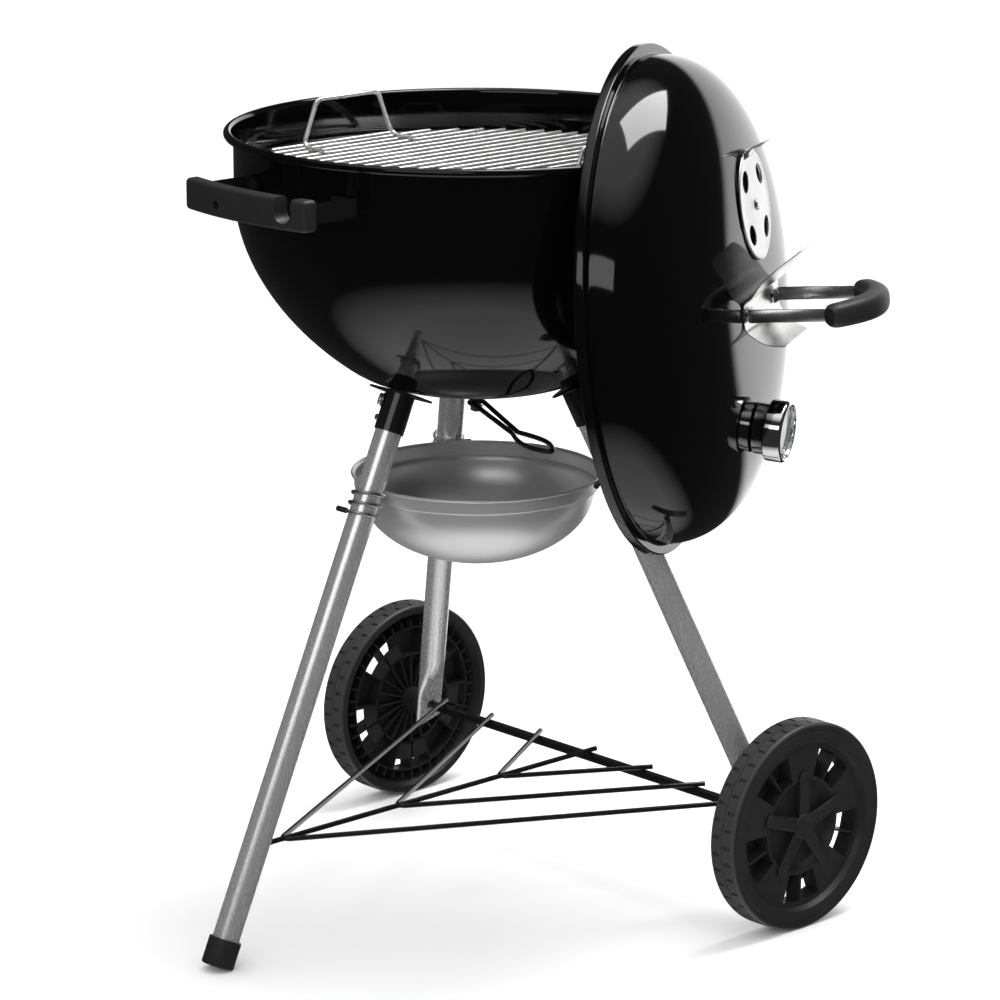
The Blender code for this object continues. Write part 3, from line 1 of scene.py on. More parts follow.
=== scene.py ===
"""Dresses the kettle charcoal grill: smooth shells, round wires, moulded wheels and their finishes."""

import math

import bmesh
import bpy
from mathutils import Matrix, Vector


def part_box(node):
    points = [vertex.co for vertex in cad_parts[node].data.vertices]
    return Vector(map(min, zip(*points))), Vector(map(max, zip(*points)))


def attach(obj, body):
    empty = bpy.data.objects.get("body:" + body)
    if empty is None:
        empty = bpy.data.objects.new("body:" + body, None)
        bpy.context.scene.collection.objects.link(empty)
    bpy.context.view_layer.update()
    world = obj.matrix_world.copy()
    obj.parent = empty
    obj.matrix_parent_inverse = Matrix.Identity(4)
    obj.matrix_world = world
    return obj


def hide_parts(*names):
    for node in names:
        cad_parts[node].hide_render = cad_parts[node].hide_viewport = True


bl_info = {
    "name": "Kettle Grill Dresser",
    "version": (1, 0, 0),
    "blender": (4, 5, 0),
    "location": "View3D > Sidebar > Grill",
    "description": "Builds the detailed pieces and finishes of a kettle charcoal grill",
    "category": "Object",
}

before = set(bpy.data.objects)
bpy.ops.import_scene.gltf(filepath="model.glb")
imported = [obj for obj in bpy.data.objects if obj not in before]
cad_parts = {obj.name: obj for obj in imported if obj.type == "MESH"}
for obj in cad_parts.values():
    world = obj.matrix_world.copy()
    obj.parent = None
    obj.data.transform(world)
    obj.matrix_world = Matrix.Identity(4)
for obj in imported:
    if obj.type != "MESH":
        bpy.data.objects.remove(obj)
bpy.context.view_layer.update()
GRATE_LOW, GRATE_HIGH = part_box("cooking_grate")
AXIS = Vector(((GRATE_LOW.x + GRATE_HIGH.x) / 2, (GRATE_LOW.y + GRATE_HIGH.y) / 2, 0))
KETTLE = Matrix.Translation(AXIS)
TAU = 2 * math.pi
CLEAR = 0.0003


# ---------------------------------------------------------------- settings
class GrillSettings(bpy.types.PropertyGroup):
    """Sizes and colours that a user would change."""

    sheet: bpy.props.FloatProperty(
        name="Shell Sheet", description="Thickness of the enamelled steel", default=0.0012, unit="LENGTH")
    rod_pitch: bpy.props.FloatProperty(
        name="Rod Pitch", description="Spacing of the cooking grate's rods", default=0.0158, unit="LENGTH")
    tread_grooves: bpy.props.IntProperty(
        name="Tread Grooves", description="Short grooves in each of a wheel's two rows", default=38, min=8)
    wheel_ribs: bpy.props.IntProperty(
        name="Wheel Ribs", description="Thin ribs on the inner side of a wheel", default=20, min=5)
    enamel: bpy.props.FloatVectorProperty(
        name="Enamel", description="Colour of the bowl and lid", default=(0.0012, 0.0012, 0.0013),
        subtype="COLOR", size=3)
    plastic: bpy.props.FloatVectorProperty(
        name="Plastic", description="Colour of the grips and wheels", default=(0.011, 0.011, 0.0115),
        subtype="COLOR", size=3)
    floor: bpy.props.FloatVectorProperty(
        name="Floor", description="Colour of the studio floor", default=(0.96, 0.96, 0.96),
        subtype="COLOR", size=3)


# ---------------------------------------------------------------- shader writing
class Val:
    """A shader socket that takes part in ordinary expressions."""

    def __init__(self, tree, socket):
        self.tree = tree
        self.socket = socket

    def node(self, kind, settings=None, **inputs):
        return node(self.tree, kind, settings, **inputs)

    def maths(self, operation, *values):
        made = self.tree.nodes.new("ShaderNodeMath")
        made.operation = operation
        for slot, value in zip(made.inputs, values):
            feed(self.tree, slot, value)
        return Val(self.tree, made.outputs[0])

    def __add__(self, other):
        return self.maths("ADD", self, other)

    __radd__ = __add__

    def __sub__(self, other):
        return self.maths("SUBTRACT", self, other)

    def __rsub__(self, other):
        return self.maths("SUBTRACT", other, self)

    def __mul__(self, other):
        return self.maths("MULTIPLY", self, other)

    __rmul__ = __mul__

    def __truediv__(self, other):
        return self.maths("DIVIDE", self, other)

    def __pow__(self, other):
        return self.maths("POWER", self, other)

    def __lt__(self, other):
        return self.maths("LESS_THAN", self, other)

    def __gt__(self, other):
        return self.maths("GREATER_THAN", self, other)

    def __abs__(self):
        return self.maths("ABSOLUTE", self)

    def __mod__(self, other):
        return self.maths("FLOORED_MODULO", self, other)

    def clamped(self):
        return self.maths("MAXIMUM", self.maths("MINIMUM", self, 1.0), 0.0)

    def out(self, name):
        return Val(self.tree, self.socket.node.outputs[name])


def feed(tree, slot, value):
    """Link a socket, or set its value."""
    if isinstance(value, Val):
        tree.links.new(value.socket, slot)
    elif isinstance(value, (tuple, list)) and len(value) == 3 and slot.type == "RGBA":
        slot.default_value = (*value, 1.0)
    else:
        slot.default_value = value


def node(tree, kind, settings=None, **inputs):
    """Add a node: its settings first, then what its sockets hold."""
    made = tree.nodes.new(kind)
    for key, value in (settings or {}).items():
        setattr(made, key, value)
    for key, value in inputs.items():
        feed(tree, made.inputs[key.replace("_", " ")], value)
    return Val(tree, made.outputs[0])


class Finish:
    """A Principled material and the tools to vary it."""

    def __init__(self, name, colour, rough, metal=0.0, **fixed):
        self.material = bpy.data.materials.new(name)
        self.material.use_nodes = True
        self.tree = self.material.node_tree
        self.shader = self.tree.nodes["Principled BSDF"]
        self.set("Base Color", colour)
        self.set("Roughness", rough)
        self.set("Metallic", metal)
        for key, value in fixed.items():
            self.set(key.replace("_", " "), value)
        self.place = node(self.tree, "ShaderNodeTexCoord").out("Object")

    def set(self, name, value):
        feed(self.tree, self.shader.inputs[name], value)

    def moved(self, offset=(0, 0, 0), scale=(1, 1, 1), turn=(0, 0, 0)):
        return node(self.tree, "ShaderNodeMapping", Vector=self.place, Location=offset, Scale=scale,
                    Rotation=turn)

    def noise(self, scale, detail=2.0, rough=0.5, vector=None):
        return node(self.tree, "ShaderNodeTexNoise", Vector=vector or self.place, Scale=scale, Detail=detail,
                    Roughness=rough)

    def split(self, vector):
        parts = node(self.tree, "ShaderNodeSeparateXYZ", Vector=vector)
        return parts.out("X"), parts.out("Y"), parts.out("Z")

    def bump(self, height, strength, distance=0.001):
        self.set("Normal", node(self.tree, "ShaderNodeBump", Height=height, Strength=strength,
                                Distance=distance))

    def tint(self, low, high, factor):
        mixed = node(self.tree, "ShaderNodeMix", {"data_type": "RGBA"}, Factor=factor)
        mix = mixed.socket.node
        feed(self.tree, mix.inputs[6], low)
        feed(self.tree, mix.inputs[7], high)
        self.set("Base Color", Val(self.tree, mix.outputs[2]))


MADE = {}


def finish(name):
    """The named finish, made once."""
    if name not in MADE:
        MADE[name] = FINISHES[name]().material
    return MADE[name]


def gloss_enamel():
    colour = tuple(bpy.context.scene.grill.enamel)
    made = Finish("gloss_enamel", colour, 0.05)
    waves = made.noise(28.0, 2.0)
    flecks = made.noise(900.0, 1.0)
    made.set("Roughness", 0.035 + 0.035 * made.noise(9.0, 4.0) + 0.03 * flecks)
    made.bump(waves + flecks * 0.02, 0.035, 0.0008)
    return made


def satin_black():
    made = Finish("satin_black_paint", (0.010, 0.010, 0.011), 0.30)
    grain = made.noise(700.0, 3.0)
    made.set("Roughness", 0.22 + 0.16 * grain)
    made.bump(grain, 0.12, 0.0004)
    return made


def gloss_black():
    made = Finish("gloss_black_steel", (0.006, 0.006, 0.0065), 0.12)
    grain = made.noise(260.0, 3.0)
    made.set("Roughness", 0.08 + 0.10 * grain)
    made.bump(grain, 0.10, 0.0004)
    return made


def plated_wire():
    made = Finish("bright_plated_wire", (0.72, 0.72, 0.71), 0.16, 0.75)
    haze = made.noise(120.0, 4.0)
    made.tint((0.74, 0.74, 0.73), (0.92, 0.92, 0.91), haze)
    made.set("Roughness", 0.12 + 0.16 * haze)
    made.bump(made.noise(1200.0, 2.0), 0.06, 0.0003)
    return made


def zinc_plate():
    made = Finish("zinc_plate", (0.68, 0.68, 0.67), 0.25, 1.0)
    haze = made.noise(300.0, 4.0)
    made.set("Roughness", 0.18 + 0.20 * haze)
    made.bump(haze, 0.08, 0.0003)
    return made


def drawn_tube():
    """Galvanised tube: fine streaks along it and a faint spangle."""
    made = Finish("galvanised_tube", (0.66, 0.66, 0.66), 0.26, 0.80)
    streaks = made.noise(1.0, 4.0, vector=made.moved(scale=(520, 520, 9)))
    spangle = node(made.tree, "ShaderNodeTexVoronoi", Vector=made.moved(scale=(140, 140, 60)), Scale=1.0)
    tone = (streaks * 0.9 + spangle * 0.1).clamped()
    made.tint((0.66, 0.66, 0.66), (0.88, 0.88, 0.88), tone)
    made.set("Roughness", 0.17 + 0.16 * streaks + 0.02 * spangle)
    made.bump(streaks, 0.03, 0.0002)
    return made


def spun_aluminium():
    """Rings left by spinning, centred on the kettle's axis."""
    made = Finish("spun_aluminium", (0.62, 0.62, 0.63), 0.34, 0.80)
    x, y, z = made.split(made.moved(offset=(-AXIS.x, -AXIS.y, 0)))
    radius = (x * x + y * y) ** 0.5
    rings = made.noise(1.0, 4.0, vector=node(made.tree, "ShaderNodeCombineXYZ", X=radius * 900, Y=z * 900))
    cloud = made.noise(14.0, 3.0)
    made.tint((0.66, 0.66, 0.67), (0.82, 0.82, 0.83), (rings * 0.5 + cloud * 0.5).clamped())
    made.set("Roughness", 0.26 + 0.14 * rings + 0.08 * cloud)
    made.bump(rings, 0.12, 0.0003)
    return made


def pressed_aluminium():
    made = Finish("pressed_aluminium", (0.66, 0.66, 0.66), 0.28, 1.0)
    grain = made.noise(60.0, 4.0)
    made.tint((0.62, 0.62, 0.62), (0.80, 0.80, 0.80), grain)
    made.set("Roughness", 0.20 + 0.18 * grain)
    made.bump(grain, 0.08, 0.0003)
    return made


def polished_strip():
    made = Finish("polished_strip", (0.72, 0.72, 0.71), 0.22, 1.0)
    grain = made.noise(1.0, 3.0, vector=made.moved(scale=(60, 60, 1400)))
    made.set("Roughness", 0.16 + 0.16 * grain)
    made.bump(grain, 0.06, 0.0003)
    return made


def chrome():
    made = Finish("chrome_trim", (0.78, 0.78, 0.79), 0.05, 1.0)
    made.set("Roughness", 0.03 + 0.05 * made.noise(160.0, 3.0))
    made.bump(made.noise(700.0, 2.0), 0.02, 0.0003)
    return made


def grained_nylon():
    colour = tuple(bpy.context.scene.grill.plastic)
    made = Finish("grained_nylon", colour, 0.45)
    grain = made.noise(1500.0, 3.0)
    wear = made.noise(30.0, 4.0)
    made.tint(tuple(c * 0.8 for c in colour), tuple(c * 1.35 for c in colour), wear)
    made.set("Roughness", 0.36 + 0.14 * grain + 0.08 * wear)
    made.bump(grain, 0.35, 0.0005)
    return made


def moulded_plastic():
    colour = tuple(bpy.context.scene.grill.plastic)
    made = Finish("moulded_wheel_plastic", colour, 0.42)
    grain = made.noise(900.0, 2.0)
    wear = made.noise(22.0, 4.0)
    x, y, z = made.split(made.moved(offset=(0, -AXIS.y - AXLE_Y, -WHEEL_RADIUS)))
    tread = ((y * y + z * z) ** 0.5 - TREAD_START).clamped() > 0.0
    made.tint(tuple(c * 0.9 for c in colour), tuple(c * 3.4 for c in colour),
              (wear * 0.3 + tread * 0.7).clamped())
    made.set("Roughness", 0.32 + 0.12 * grain + 0.14 * wear)
    made.bump(grain, 0.20, 0.0004)
    return made


def dial_print():
    """White dial with a ring of graduation ticks."""
    made = Finish("dial_print", (0.85, 0.85, 0.83), 0.5)
    uv = node(made.tree, "ShaderNodeTexCoord").out("UV")
    u, v, _ = made.split(uv)
    x, y = u - 0.5, v - 0.5
    radius = (x * x + y * y) ** 0.5
    angle = x.maths("ARCTAN2", y, x) / TAU + 0.5
    minor = abs((angle * 60) % 1.0 - 0.5) > 0.42
    major = abs((angle * 12) % 1.0 - 0.5) > 0.475
    ring = (radius > 0.40) * (radius < 0.455)
    inner = (radius > 0.36) * (radius < 0.455)
    ink = (minor * ring + major * inner).clamped()
    made.tint((0.85, 0.85, 0.83), (0.03, 0.03, 0.03), ink)
    made.set("Roughness", 0.45 + 0.1 * made.noise(400.0))
    return made


def gauge_glass():
    made = Finish("gauge_glass", (0.95, 0.97, 0.97), 0.02, Transmission_Weight=1.0, IOR=1.5)
    made.set("Roughness", 0.01 + 0.03 * made.noise(80.0, 3.0))
    return made


FINISHES = {
    "gloss_enamel": gloss_enamel, "satin_black": satin_black, "gloss_black": gloss_black,
    "plated_wire": plated_wire, "zinc_plate": zinc_plate, "drawn_tube": drawn_tube,
    "spun_aluminium": spun_aluminium, "pressed_aluminium": pressed_aluminium,
    "polished_strip": polished_strip, "chrome": chrome,
    "grained_nylon": grained_nylon, "moulded_plastic": moulded_plastic,
    "dial_print": dial_print, "gauge_glass": gauge_glass,
}


# ---------------------------------------------------------------- mesh tools
def as_mesh(name, bm, angle=35.0):
    """Smooth mesh with outward faces and its sharp edges kept."""
    bmesh.ops.recalc_face_normals(bm, faces=bm.faces)
    mesh = bpy.data.meshes.new(name)
    bm.to_mesh(mesh)
    bm.free()
    mesh.shade_smooth()
    mesh.set_sharp_from_angle(angle=math.radians(angle))
    return mesh


def lathe(name, outline, segments, place, angle=35.0):
    """Spin a closed (radius, height) outline about the Z axis of a placing matrix."""
    bm = bmesh.new()
    rings = []
    for radius, height in outline:
        if radius < 1e-7:
            rings.append([bm.verts.new(place @ Vector((0, 0, height)))])
            continue
        rings.append([bm.verts.new(place @ Vector((radius * math.cos(TAU * k / segments),
                                                   radius * math.sin(TAU * k / segments), height)))
                      for k in range(segments)])
    for low, high in zip(rings, rings[1:] + rings[:1]):
        if len(low) == 1 and len(high) == 1:
            continue
        for k in range(segments):
            corners = [low[k % len(low)], low[(k + 1) % len(low)],
                       high[(k + 1) % len(high)], high[k % len(high)]]
            bm.faces.new(list(dict.fromkeys(corners)))
    return as_mesh(name, bm, angle)


def extruded(name, outline, low, high, place):
    """Raise an (x, y) outline from z = low to z = high."""
    bm = bmesh.new()
    floor = [bm.verts.new(place @ Vector((x, y, low))) for x, y in outline]
    roof = [bm.verts.new(place @ Vector((x, y, high))) for x, y in outline]
    bm.faces.new(floor)
    bm.faces.new(roof)
    for k in range(len(outline)):
        bm.faces.new((floor[k - 1], floor[k], roof[k], roof[k - 1]))
    return as_mesh(name, bm)


def strip(name, path, width, sheet, place):
    """Bend a flat strip along a (y, z) path of a placing matrix, its width along X."""
    points = [Vector(p) for p in path]
    left, right = [], []
    for i, point in enumerate(points):
        before = (point - points[i - 1]).normalized() if i else None
        after = (points[i + 1] - point).normalized() if i < len(points) - 1 else None
        along = ((before or after) + (after or before)).normalized()
        side = Vector((-along.y, along.x)) * (sheet / 2 / max(0.3, along.dot(after or before)))
        left.append(point + side)
        right.append(point - side)
    turn = place @ Matrix(((0, 0, 1, 0), (1, 0, 0, 0), (0, 1, 0, 0), (0, 0, 0, 1)))
    return extruded(name, [(p.x, p.y) for p in left + right[::-1]], -width / 2, width / 2, turn)


def new_object(name, mesh):
    made = bpy.data.objects.new(name, mesh)
    bpy.context.scene.collection.objects.link(made)
    return made


def soften(made, width, segments=3, angle=40.0):
    """Round the edges of a piece."""
    bevel = made.modifiers.new("rounded_edges", "BEVEL")
    bevel.width = width
    bevel.segments = segments
    bevel.limit_method = "ANGLE"
    bevel.angle_limit = math.radians(angle)
    bevel.harden_normals = True


def cut_away(made, *cutters):
    """Take shapes out of a piece."""
    for number, mesh in enumerate(cutters):
        tool = new_object(f"{made.name}_tool_{number}", mesh)
        tool.hide_render = True
        step = made.modifiers.new(tool.name, "BOOLEAN")
        step.operation = "DIFFERENCE"
        step.object = tool
        step.solver = "EXACT"


def settled(made):
    """Bake a piece's modifiers into a plain mesh and drop its cutters."""
    graph = bpy.context.evaluated_depsgraph_get()
    mesh = bpy.data.meshes.new_from_object(made.evaluated_get(graph))
    tools = [step.object for step in made.modifiers if step.type == "BOOLEAN"]
    made.modifiers.clear()
    made.data = mesh
    for tool in tools:
        bpy.data.objects.remove(tool, do_unlink=True)
    return made


def fitted(made, look, body, slot, *nodes, angle=35.0):
    """Settle a piece, give it its finish and tie it to the frame."""
    settled(made)
    made.data.materials.clear()
    made.data.materials.append(finish(look))
    made.data.shade_smooth()
    made.data.set_sharp_from_angle(angle=math.radians(angle))
    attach(made, body)
    if nodes:
        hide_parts(*nodes)
    return made


def joined(name, meshes):
    """One mesh of several."""
    bm = bmesh.new()
    for mesh in meshes:
        bm.from_mesh(mesh)
    mesh = bpy.data.meshes.new(name)
    bm.to_mesh(mesh)
    bm.free()
    return mesh


# ---------------------------------------------------------------- geometry trees
def geometry_tree(name, inputs):
    """An empty geometry tree with named inputs."""
    tree = bpy.data.node_groups.new(name, "GeometryNodeTree")
    tree.interface.new_socket("Geometry", in_out="INPUT", socket_type="NodeSocketGeometry")
    for label, kind, value in inputs:
        socket = tree.interface.new_socket(label, in_out="INPUT", socket_type=kind)
        if value is not None:
            socket.default_value = value
    tree.interface.new_socket("Geometry", in_out="OUTPUT", socket_type="NodeSocketGeometry")
    return tree


def end_tree(tree, shape, given):
    """Realize, set the material and leave."""
    real = node(tree, "GeometryNodeRealizeInstances", Geometry=shape)
    dressed = node(tree, "GeometryNodeSetMaterial", Geometry=real, Material=given.out("Material"))
    leave = tree.nodes.new("NodeGroupOutput")
    tree.links.new(dressed.socket, leave.inputs[0])


def wire_tree():
    """Sweep a round wire along every edge run, its corners bent to a radius."""
    tree = geometry_tree("bent_wire", [
        ("Wire Radius", "NodeSocketFloat", 0.002), ("Bend Radius", "NodeSocketFloat", 0.004),
        ("Sides", "NodeSocketInt", 10), ("Material", "NodeSocketMaterial", None)])
    given = node(tree, "NodeGroupInput")
    runs = node(tree, "GeometryNodeMeshToCurve", Mesh=given.out("Geometry"))
    bent = node(tree, "GeometryNodeFilletCurve", {"mode": "POLY"}, Curve=runs,
                Radius=given.out("Bend Radius"), Count=5, Limit_Radius=True)
    ring = node(tree, "GeometryNodeCurvePrimitiveCircle", Resolution=given.out("Sides"),
                Radius=given.out("Wire Radius"))
    swept = node(tree, "GeometryNodeCurveToMesh", Curve=bent, Profile_Curve=ring, Fill_Caps=True)
    end_tree(tree, node(tree, "GeometryNodeSetShadeSmooth", Geometry=swept), given)
    return tree


def ring_tree():
    """Repeat a shape around an axle that runs along X."""
    tree = geometry_tree("around_axle", [
        ("Count", "NodeSocketInt", 5), ("Start Angle", "NodeSocketFloat", 0.0),
        ("Centre", "NodeSocketVector", (0, 0, 0)), ("Material", "NodeSocketMaterial", None)])
    given = node(tree, "NodeGroupInput")
    points = node(tree, "GeometryNodePoints", Count=given.out("Count"), Position=given.out("Centre"))
    index = node(tree, "GeometryNodeInputIndex")
    angle = index * TAU / given.out("Count") + given.out("Start Angle")
    turn = node(tree, "ShaderNodeCombineXYZ", X=angle)
    placed = node(tree, "GeometryNodeInstanceOnPoints", Points=points, Instance=given.out("Geometry"),
                  Rotation=turn)
    end_tree(tree, placed, given)
    return tree


TREES = {}


def grown(made, maker, material, **values):
    """Run a geometry tree over a piece and keep its result as a plain mesh."""
    if maker.__name__ not in TREES:
        TREES[maker.__name__] = maker()
    tree = TREES[maker.__name__]
    step = made.modifiers.new(tree.name, "NODES")
    step.node_group = tree
    named = {item.name: item.identifier for item in tree.interface.items_tree if item.in_out == "INPUT"}
    for label, value in values.items():
        step[named[label.replace("_", " ")]] = value
    step[named["Material"]] = material
    return settled(made)


def wires(name, runs, radius, look, body, slot, *nodes, bend=0.004, sides=12, closed=False, place=KETTLE):
    """Round wire along each run of points."""
    bm = bmesh.new()
    for run in runs:
        made = [bm.verts.new(place @ Vector(point)) for point in run]
        for a, b in zip(made, made[1:] + (made[:1] if closed else [])):
            bm.edges.new((a, b))
    mesh = bpy.data.meshes.new(name)
    bm.to_mesh(mesh)
    bm.free()
    made = grown(new_object(name, mesh), wire_tree, finish(look), Wire_Radius=radius, Bend_Radius=bend,
                 Sides=sides)
    return fitted(made, look, body, slot, *nodes, angle=50.0)


# ---------------------------------------------------------------- shapes shared by the pieces
RIM_HEIGHT, RIM_BEAD, RIM_RING = 0.7467, 0.0040, 0.2318
WALL_RADIUS, STRAIGHT, CURVE_DEPTH, CURVE_POWERS = 0.2267, 0.0558, 0.2128, (1.8892, 1.5847)
BOWL_FLOOR, BLEND_RADIUS, FLAT_RADIUS = 0.5050, 0.1250, 0.0300
LID_RADIUS, LID_BAND, DOME_RADIUS, DOME_HEIGHT, LID_POWERS = 0.2370, 0.0100, 0.2271, 0.1055, (2.29, 3.07)
LEG_RADIUS, LEG_WALL, SOCKET_LENGTH, FOOT_REACH = 0.0127, 0.0012, 0.0397, 0.3279
AXLE_X, AXLE_Y, WHEEL_RADIUS, WHEEL_WIDTH, WHEEL_INNER = 0.2416, 0.1532, 0.1008, 0.0296, 0.2636
TREAD_START = 0.0985
RACK_HEIGHT = WHEEL_RADIUS + 0.0048 + CLEAR + 0.0025
PAN_RADIUS, PAN_HEIGHT = 0.1201, 0.4196
GRIP_Y, GRIP_MIDDLE, GRIP_HALF = -0.2817, 0.7107, 0.0840


def placing(origin, x_axis, y_axis, z_axis):
    """A placing matrix from an origin and three axes."""
    matrix = Matrix((x_axis, y_axis, z_axis)).transposed().to_4x4()
    matrix.translation = origin
    return matrix


def arc(x, y, radius, start, stop, steps):
    """Points on an arc, angles in degrees."""
    angles = [math.radians(start + (stop - start) * k / steps) for k in range(steps + 1)]
    return [(x + radius * math.cos(a), y + radius * math.sin(a)) for a in angles]


def curve_height(radius):
    """Height of the bowl's outer skin on its main curve."""
    p, q = CURVE_POWERS
    share = min(1.0, radius / WALL_RADIUS)
    return RIM_HEIGHT - STRAIGHT - CURVE_DEPTH * (1 - share ** q) ** (1 / p)


def bowl_height(radius):
    """Height of the bowl's outer skin, down to its flat floor."""
    if radius >= BLEND_RADIUS:
        return curve_height(radius)
    if radius <= FLAT_RADIUS:
        return BOWL_FLOOR
    step, span = 0.001, BLEND_RADIUS - FLAT_RADIUS
    slope = (curve_height(BLEND_RADIUS + step) - curve_height(BLEND_RADIUS)) / step
    s = (radius - FLAT_RADIUS) / span
    rise = curve_height(BLEND_RADIUS) - BOWL_FLOOR
    return BOWL_FLOOR + rise * (3 * s ** 2 - 2 * s ** 3) + slope * span * (s ** 3 - s ** 2)


def lid_depth(radius):
    """How far the lid stands out from its rim plane at a radius."""
    p, q = LID_POWERS
    share = min(1.0, radius / DOME_RADIUS)
    return LID_BAND + (DOME_HEIGHT - LID_BAND) * (1 - share ** q) ** (1 / p)


def inner_wall(outer, sheet):
    """The far side of a thin wall."""
    points = [Vector(p) for p in outer]
    inner = []
    for i, point in enumerate(points):
        along = (points[min(i + 1, len(points) - 1)] - points[max(i - 1, 0)]).normalized()
        inner.append((point.x + along.y * sheet if point.x else 0.0, point.y - along.x * sheet))
    return inner


def leg_place(which):
    """Local Z runs down a leg from the bowl's skin, local X faces away from the kettle's axis."""
    azimuth = math.radians({"front": -90.0, "right": 30.0, "left": 150.0}[which])
    outward = Vector((math.cos(azimuth), math.sin(azimuth), 0))
    top = outward * 0.0950 + Vector((0, 0, bowl_height(0.0950)))
    ends = {"front": (0, -FOOT_REACH, 0), "right": (AXLE_X, AXLE_Y, WHEEL_RADIUS),
            "left": (-AXLE_X, AXLE_Y, WHEEL_RADIUS)}
    down = Vector(ends[which]) - top
    length = down.length
    down.normalize()
    out = (outward - down * outward.dot(down)).normalized()
    return KETTLE @ placing(top, out, down.cross(out), down), length


def hung_lid():
    """Local Z is the dome's axis, local Y runs up the hanging lid, local X is level."""
    turn, tilt = math.radians(29.2), math.radians(4.86)
    away = Vector((math.cos(turn), math.sin(turn), 0))
    axis = away * math.cos(tilt) + Vector((0, 0, math.sin(tilt)))
    level = axis.cross(Vector((0, 0, 1))).normalized()
    return KETTLE @ placing(away * 0.1700 + Vector((0, 0, 0.5966)), -level, axis.cross(-level), axis)


def on_dome(side, up):
    """Placing on the lid's skin: local Z is the dome's normal, local Y is up."""
    radius, step = math.hypot(side, up), 0.0005
    slope = (lid_depth(radius + step) - lid_depth(radius - step)) / (2 * step)
    normal = (Vector((0, 0, 1)) - Vector((side / radius, up / radius, 0)) * slope).normalized()
    level = Vector((0, 1, 0)).cross(normal).normalized()
    return hung_lid() @ placing(Vector((side, up, lid_depth(radius))), level, normal.cross(level), normal)


def sector(inner, outer, middle, width, steps=12):
    """Outline of a slot that follows two circles."""
    return arc(0, 0, outer, middle - width / 2, middle + width / 2, steps) + \
        arc(0, 0, inner, middle + width / 2, middle - width / 2, steps)


def circle(radius, steps=40, start=0.0):
    return arc(0, 0, radius, start, start + 360 * (steps - 1) / steps, steps - 1)


def repaint(look, *names):
    """Give CAD nodes that keep their shape a better finish."""
    for name in names:
        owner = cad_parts[name]
        owner.data.materials.clear()
        owner.data.materials.append(finish(look))


class GrillStep:
    """What every operator of this add-on shares."""
    bl_options = {"REGISTER", "UNDO"}

    def execute(self, context):
        self.build(context.scene.grill)
        return {"FINISHED"}


# ---------------------------------------------------------------- operators
class GRILL_OT_bowl(GrillStep, bpy.types.Operator):
    """Spin the enamelled bowl with its rolled rim and ash slots"""
    bl_idname = "grill.bowl"
    bl_label = "Bowl"

    def build(self, sizes):
        p, q = CURVE_POWERS
        top = RIM_HEIGHT - STRAIGHT
        skin = [(WALL_RADIUS, RIM_HEIGHT - 3 * RIM_BEAD), (WALL_RADIUS, top + 0.02), (WALL_RADIUS, top)]
        for k in range(1, 41):
            angle = math.pi / 2 * k / 40
            radius = WALL_RADIUS * math.cos(angle) ** (2 / q)
            if radius > BLEND_RADIUS * 1.02:
                skin.append((radius, top - CURVE_DEPTH * math.sin(angle) ** (2 / p)))
        for k in range(21):
            radius = BLEND_RADIUS + (FLAT_RADIUS - BLEND_RADIUS) * k / 20
            skin.append((radius, bowl_height(radius)))
        skin.append((0.0, BOWL_FLOOR))
        bead = arc(RIM_RING, RIM_HEIGHT, RIM_BEAD, 180, -135, 18)
        bowl = new_object("kettle_bowl", lathe("kettle_bowl",
                                               bead + skin + inner_wall(skin, sizes.sheet)[::-1],
                                               192, KETTLE))
        low, high = BOWL_FLOOR - 0.01, BOWL_FLOOR + 0.02
        slots = [extruded("slot", sector(0.024, 0.072, a, 24.0), low, high, KETTLE) for a in (30, 150, 270)]
        slots.append(extruded("shaft_hole", circle(0.0046, 24), low, high, KETTLE))
        cut_away(bowl, joined("bowl_slots", slots))
        fitted(bowl, "gloss_enamel", "stand", "black_enamel", "bowl")
        repaint("gloss_enamel", *[f"{g}_grate_bracket_{k}" for g in ("cooking", "charcoal")
                                  for k in (1, 2, 3)])


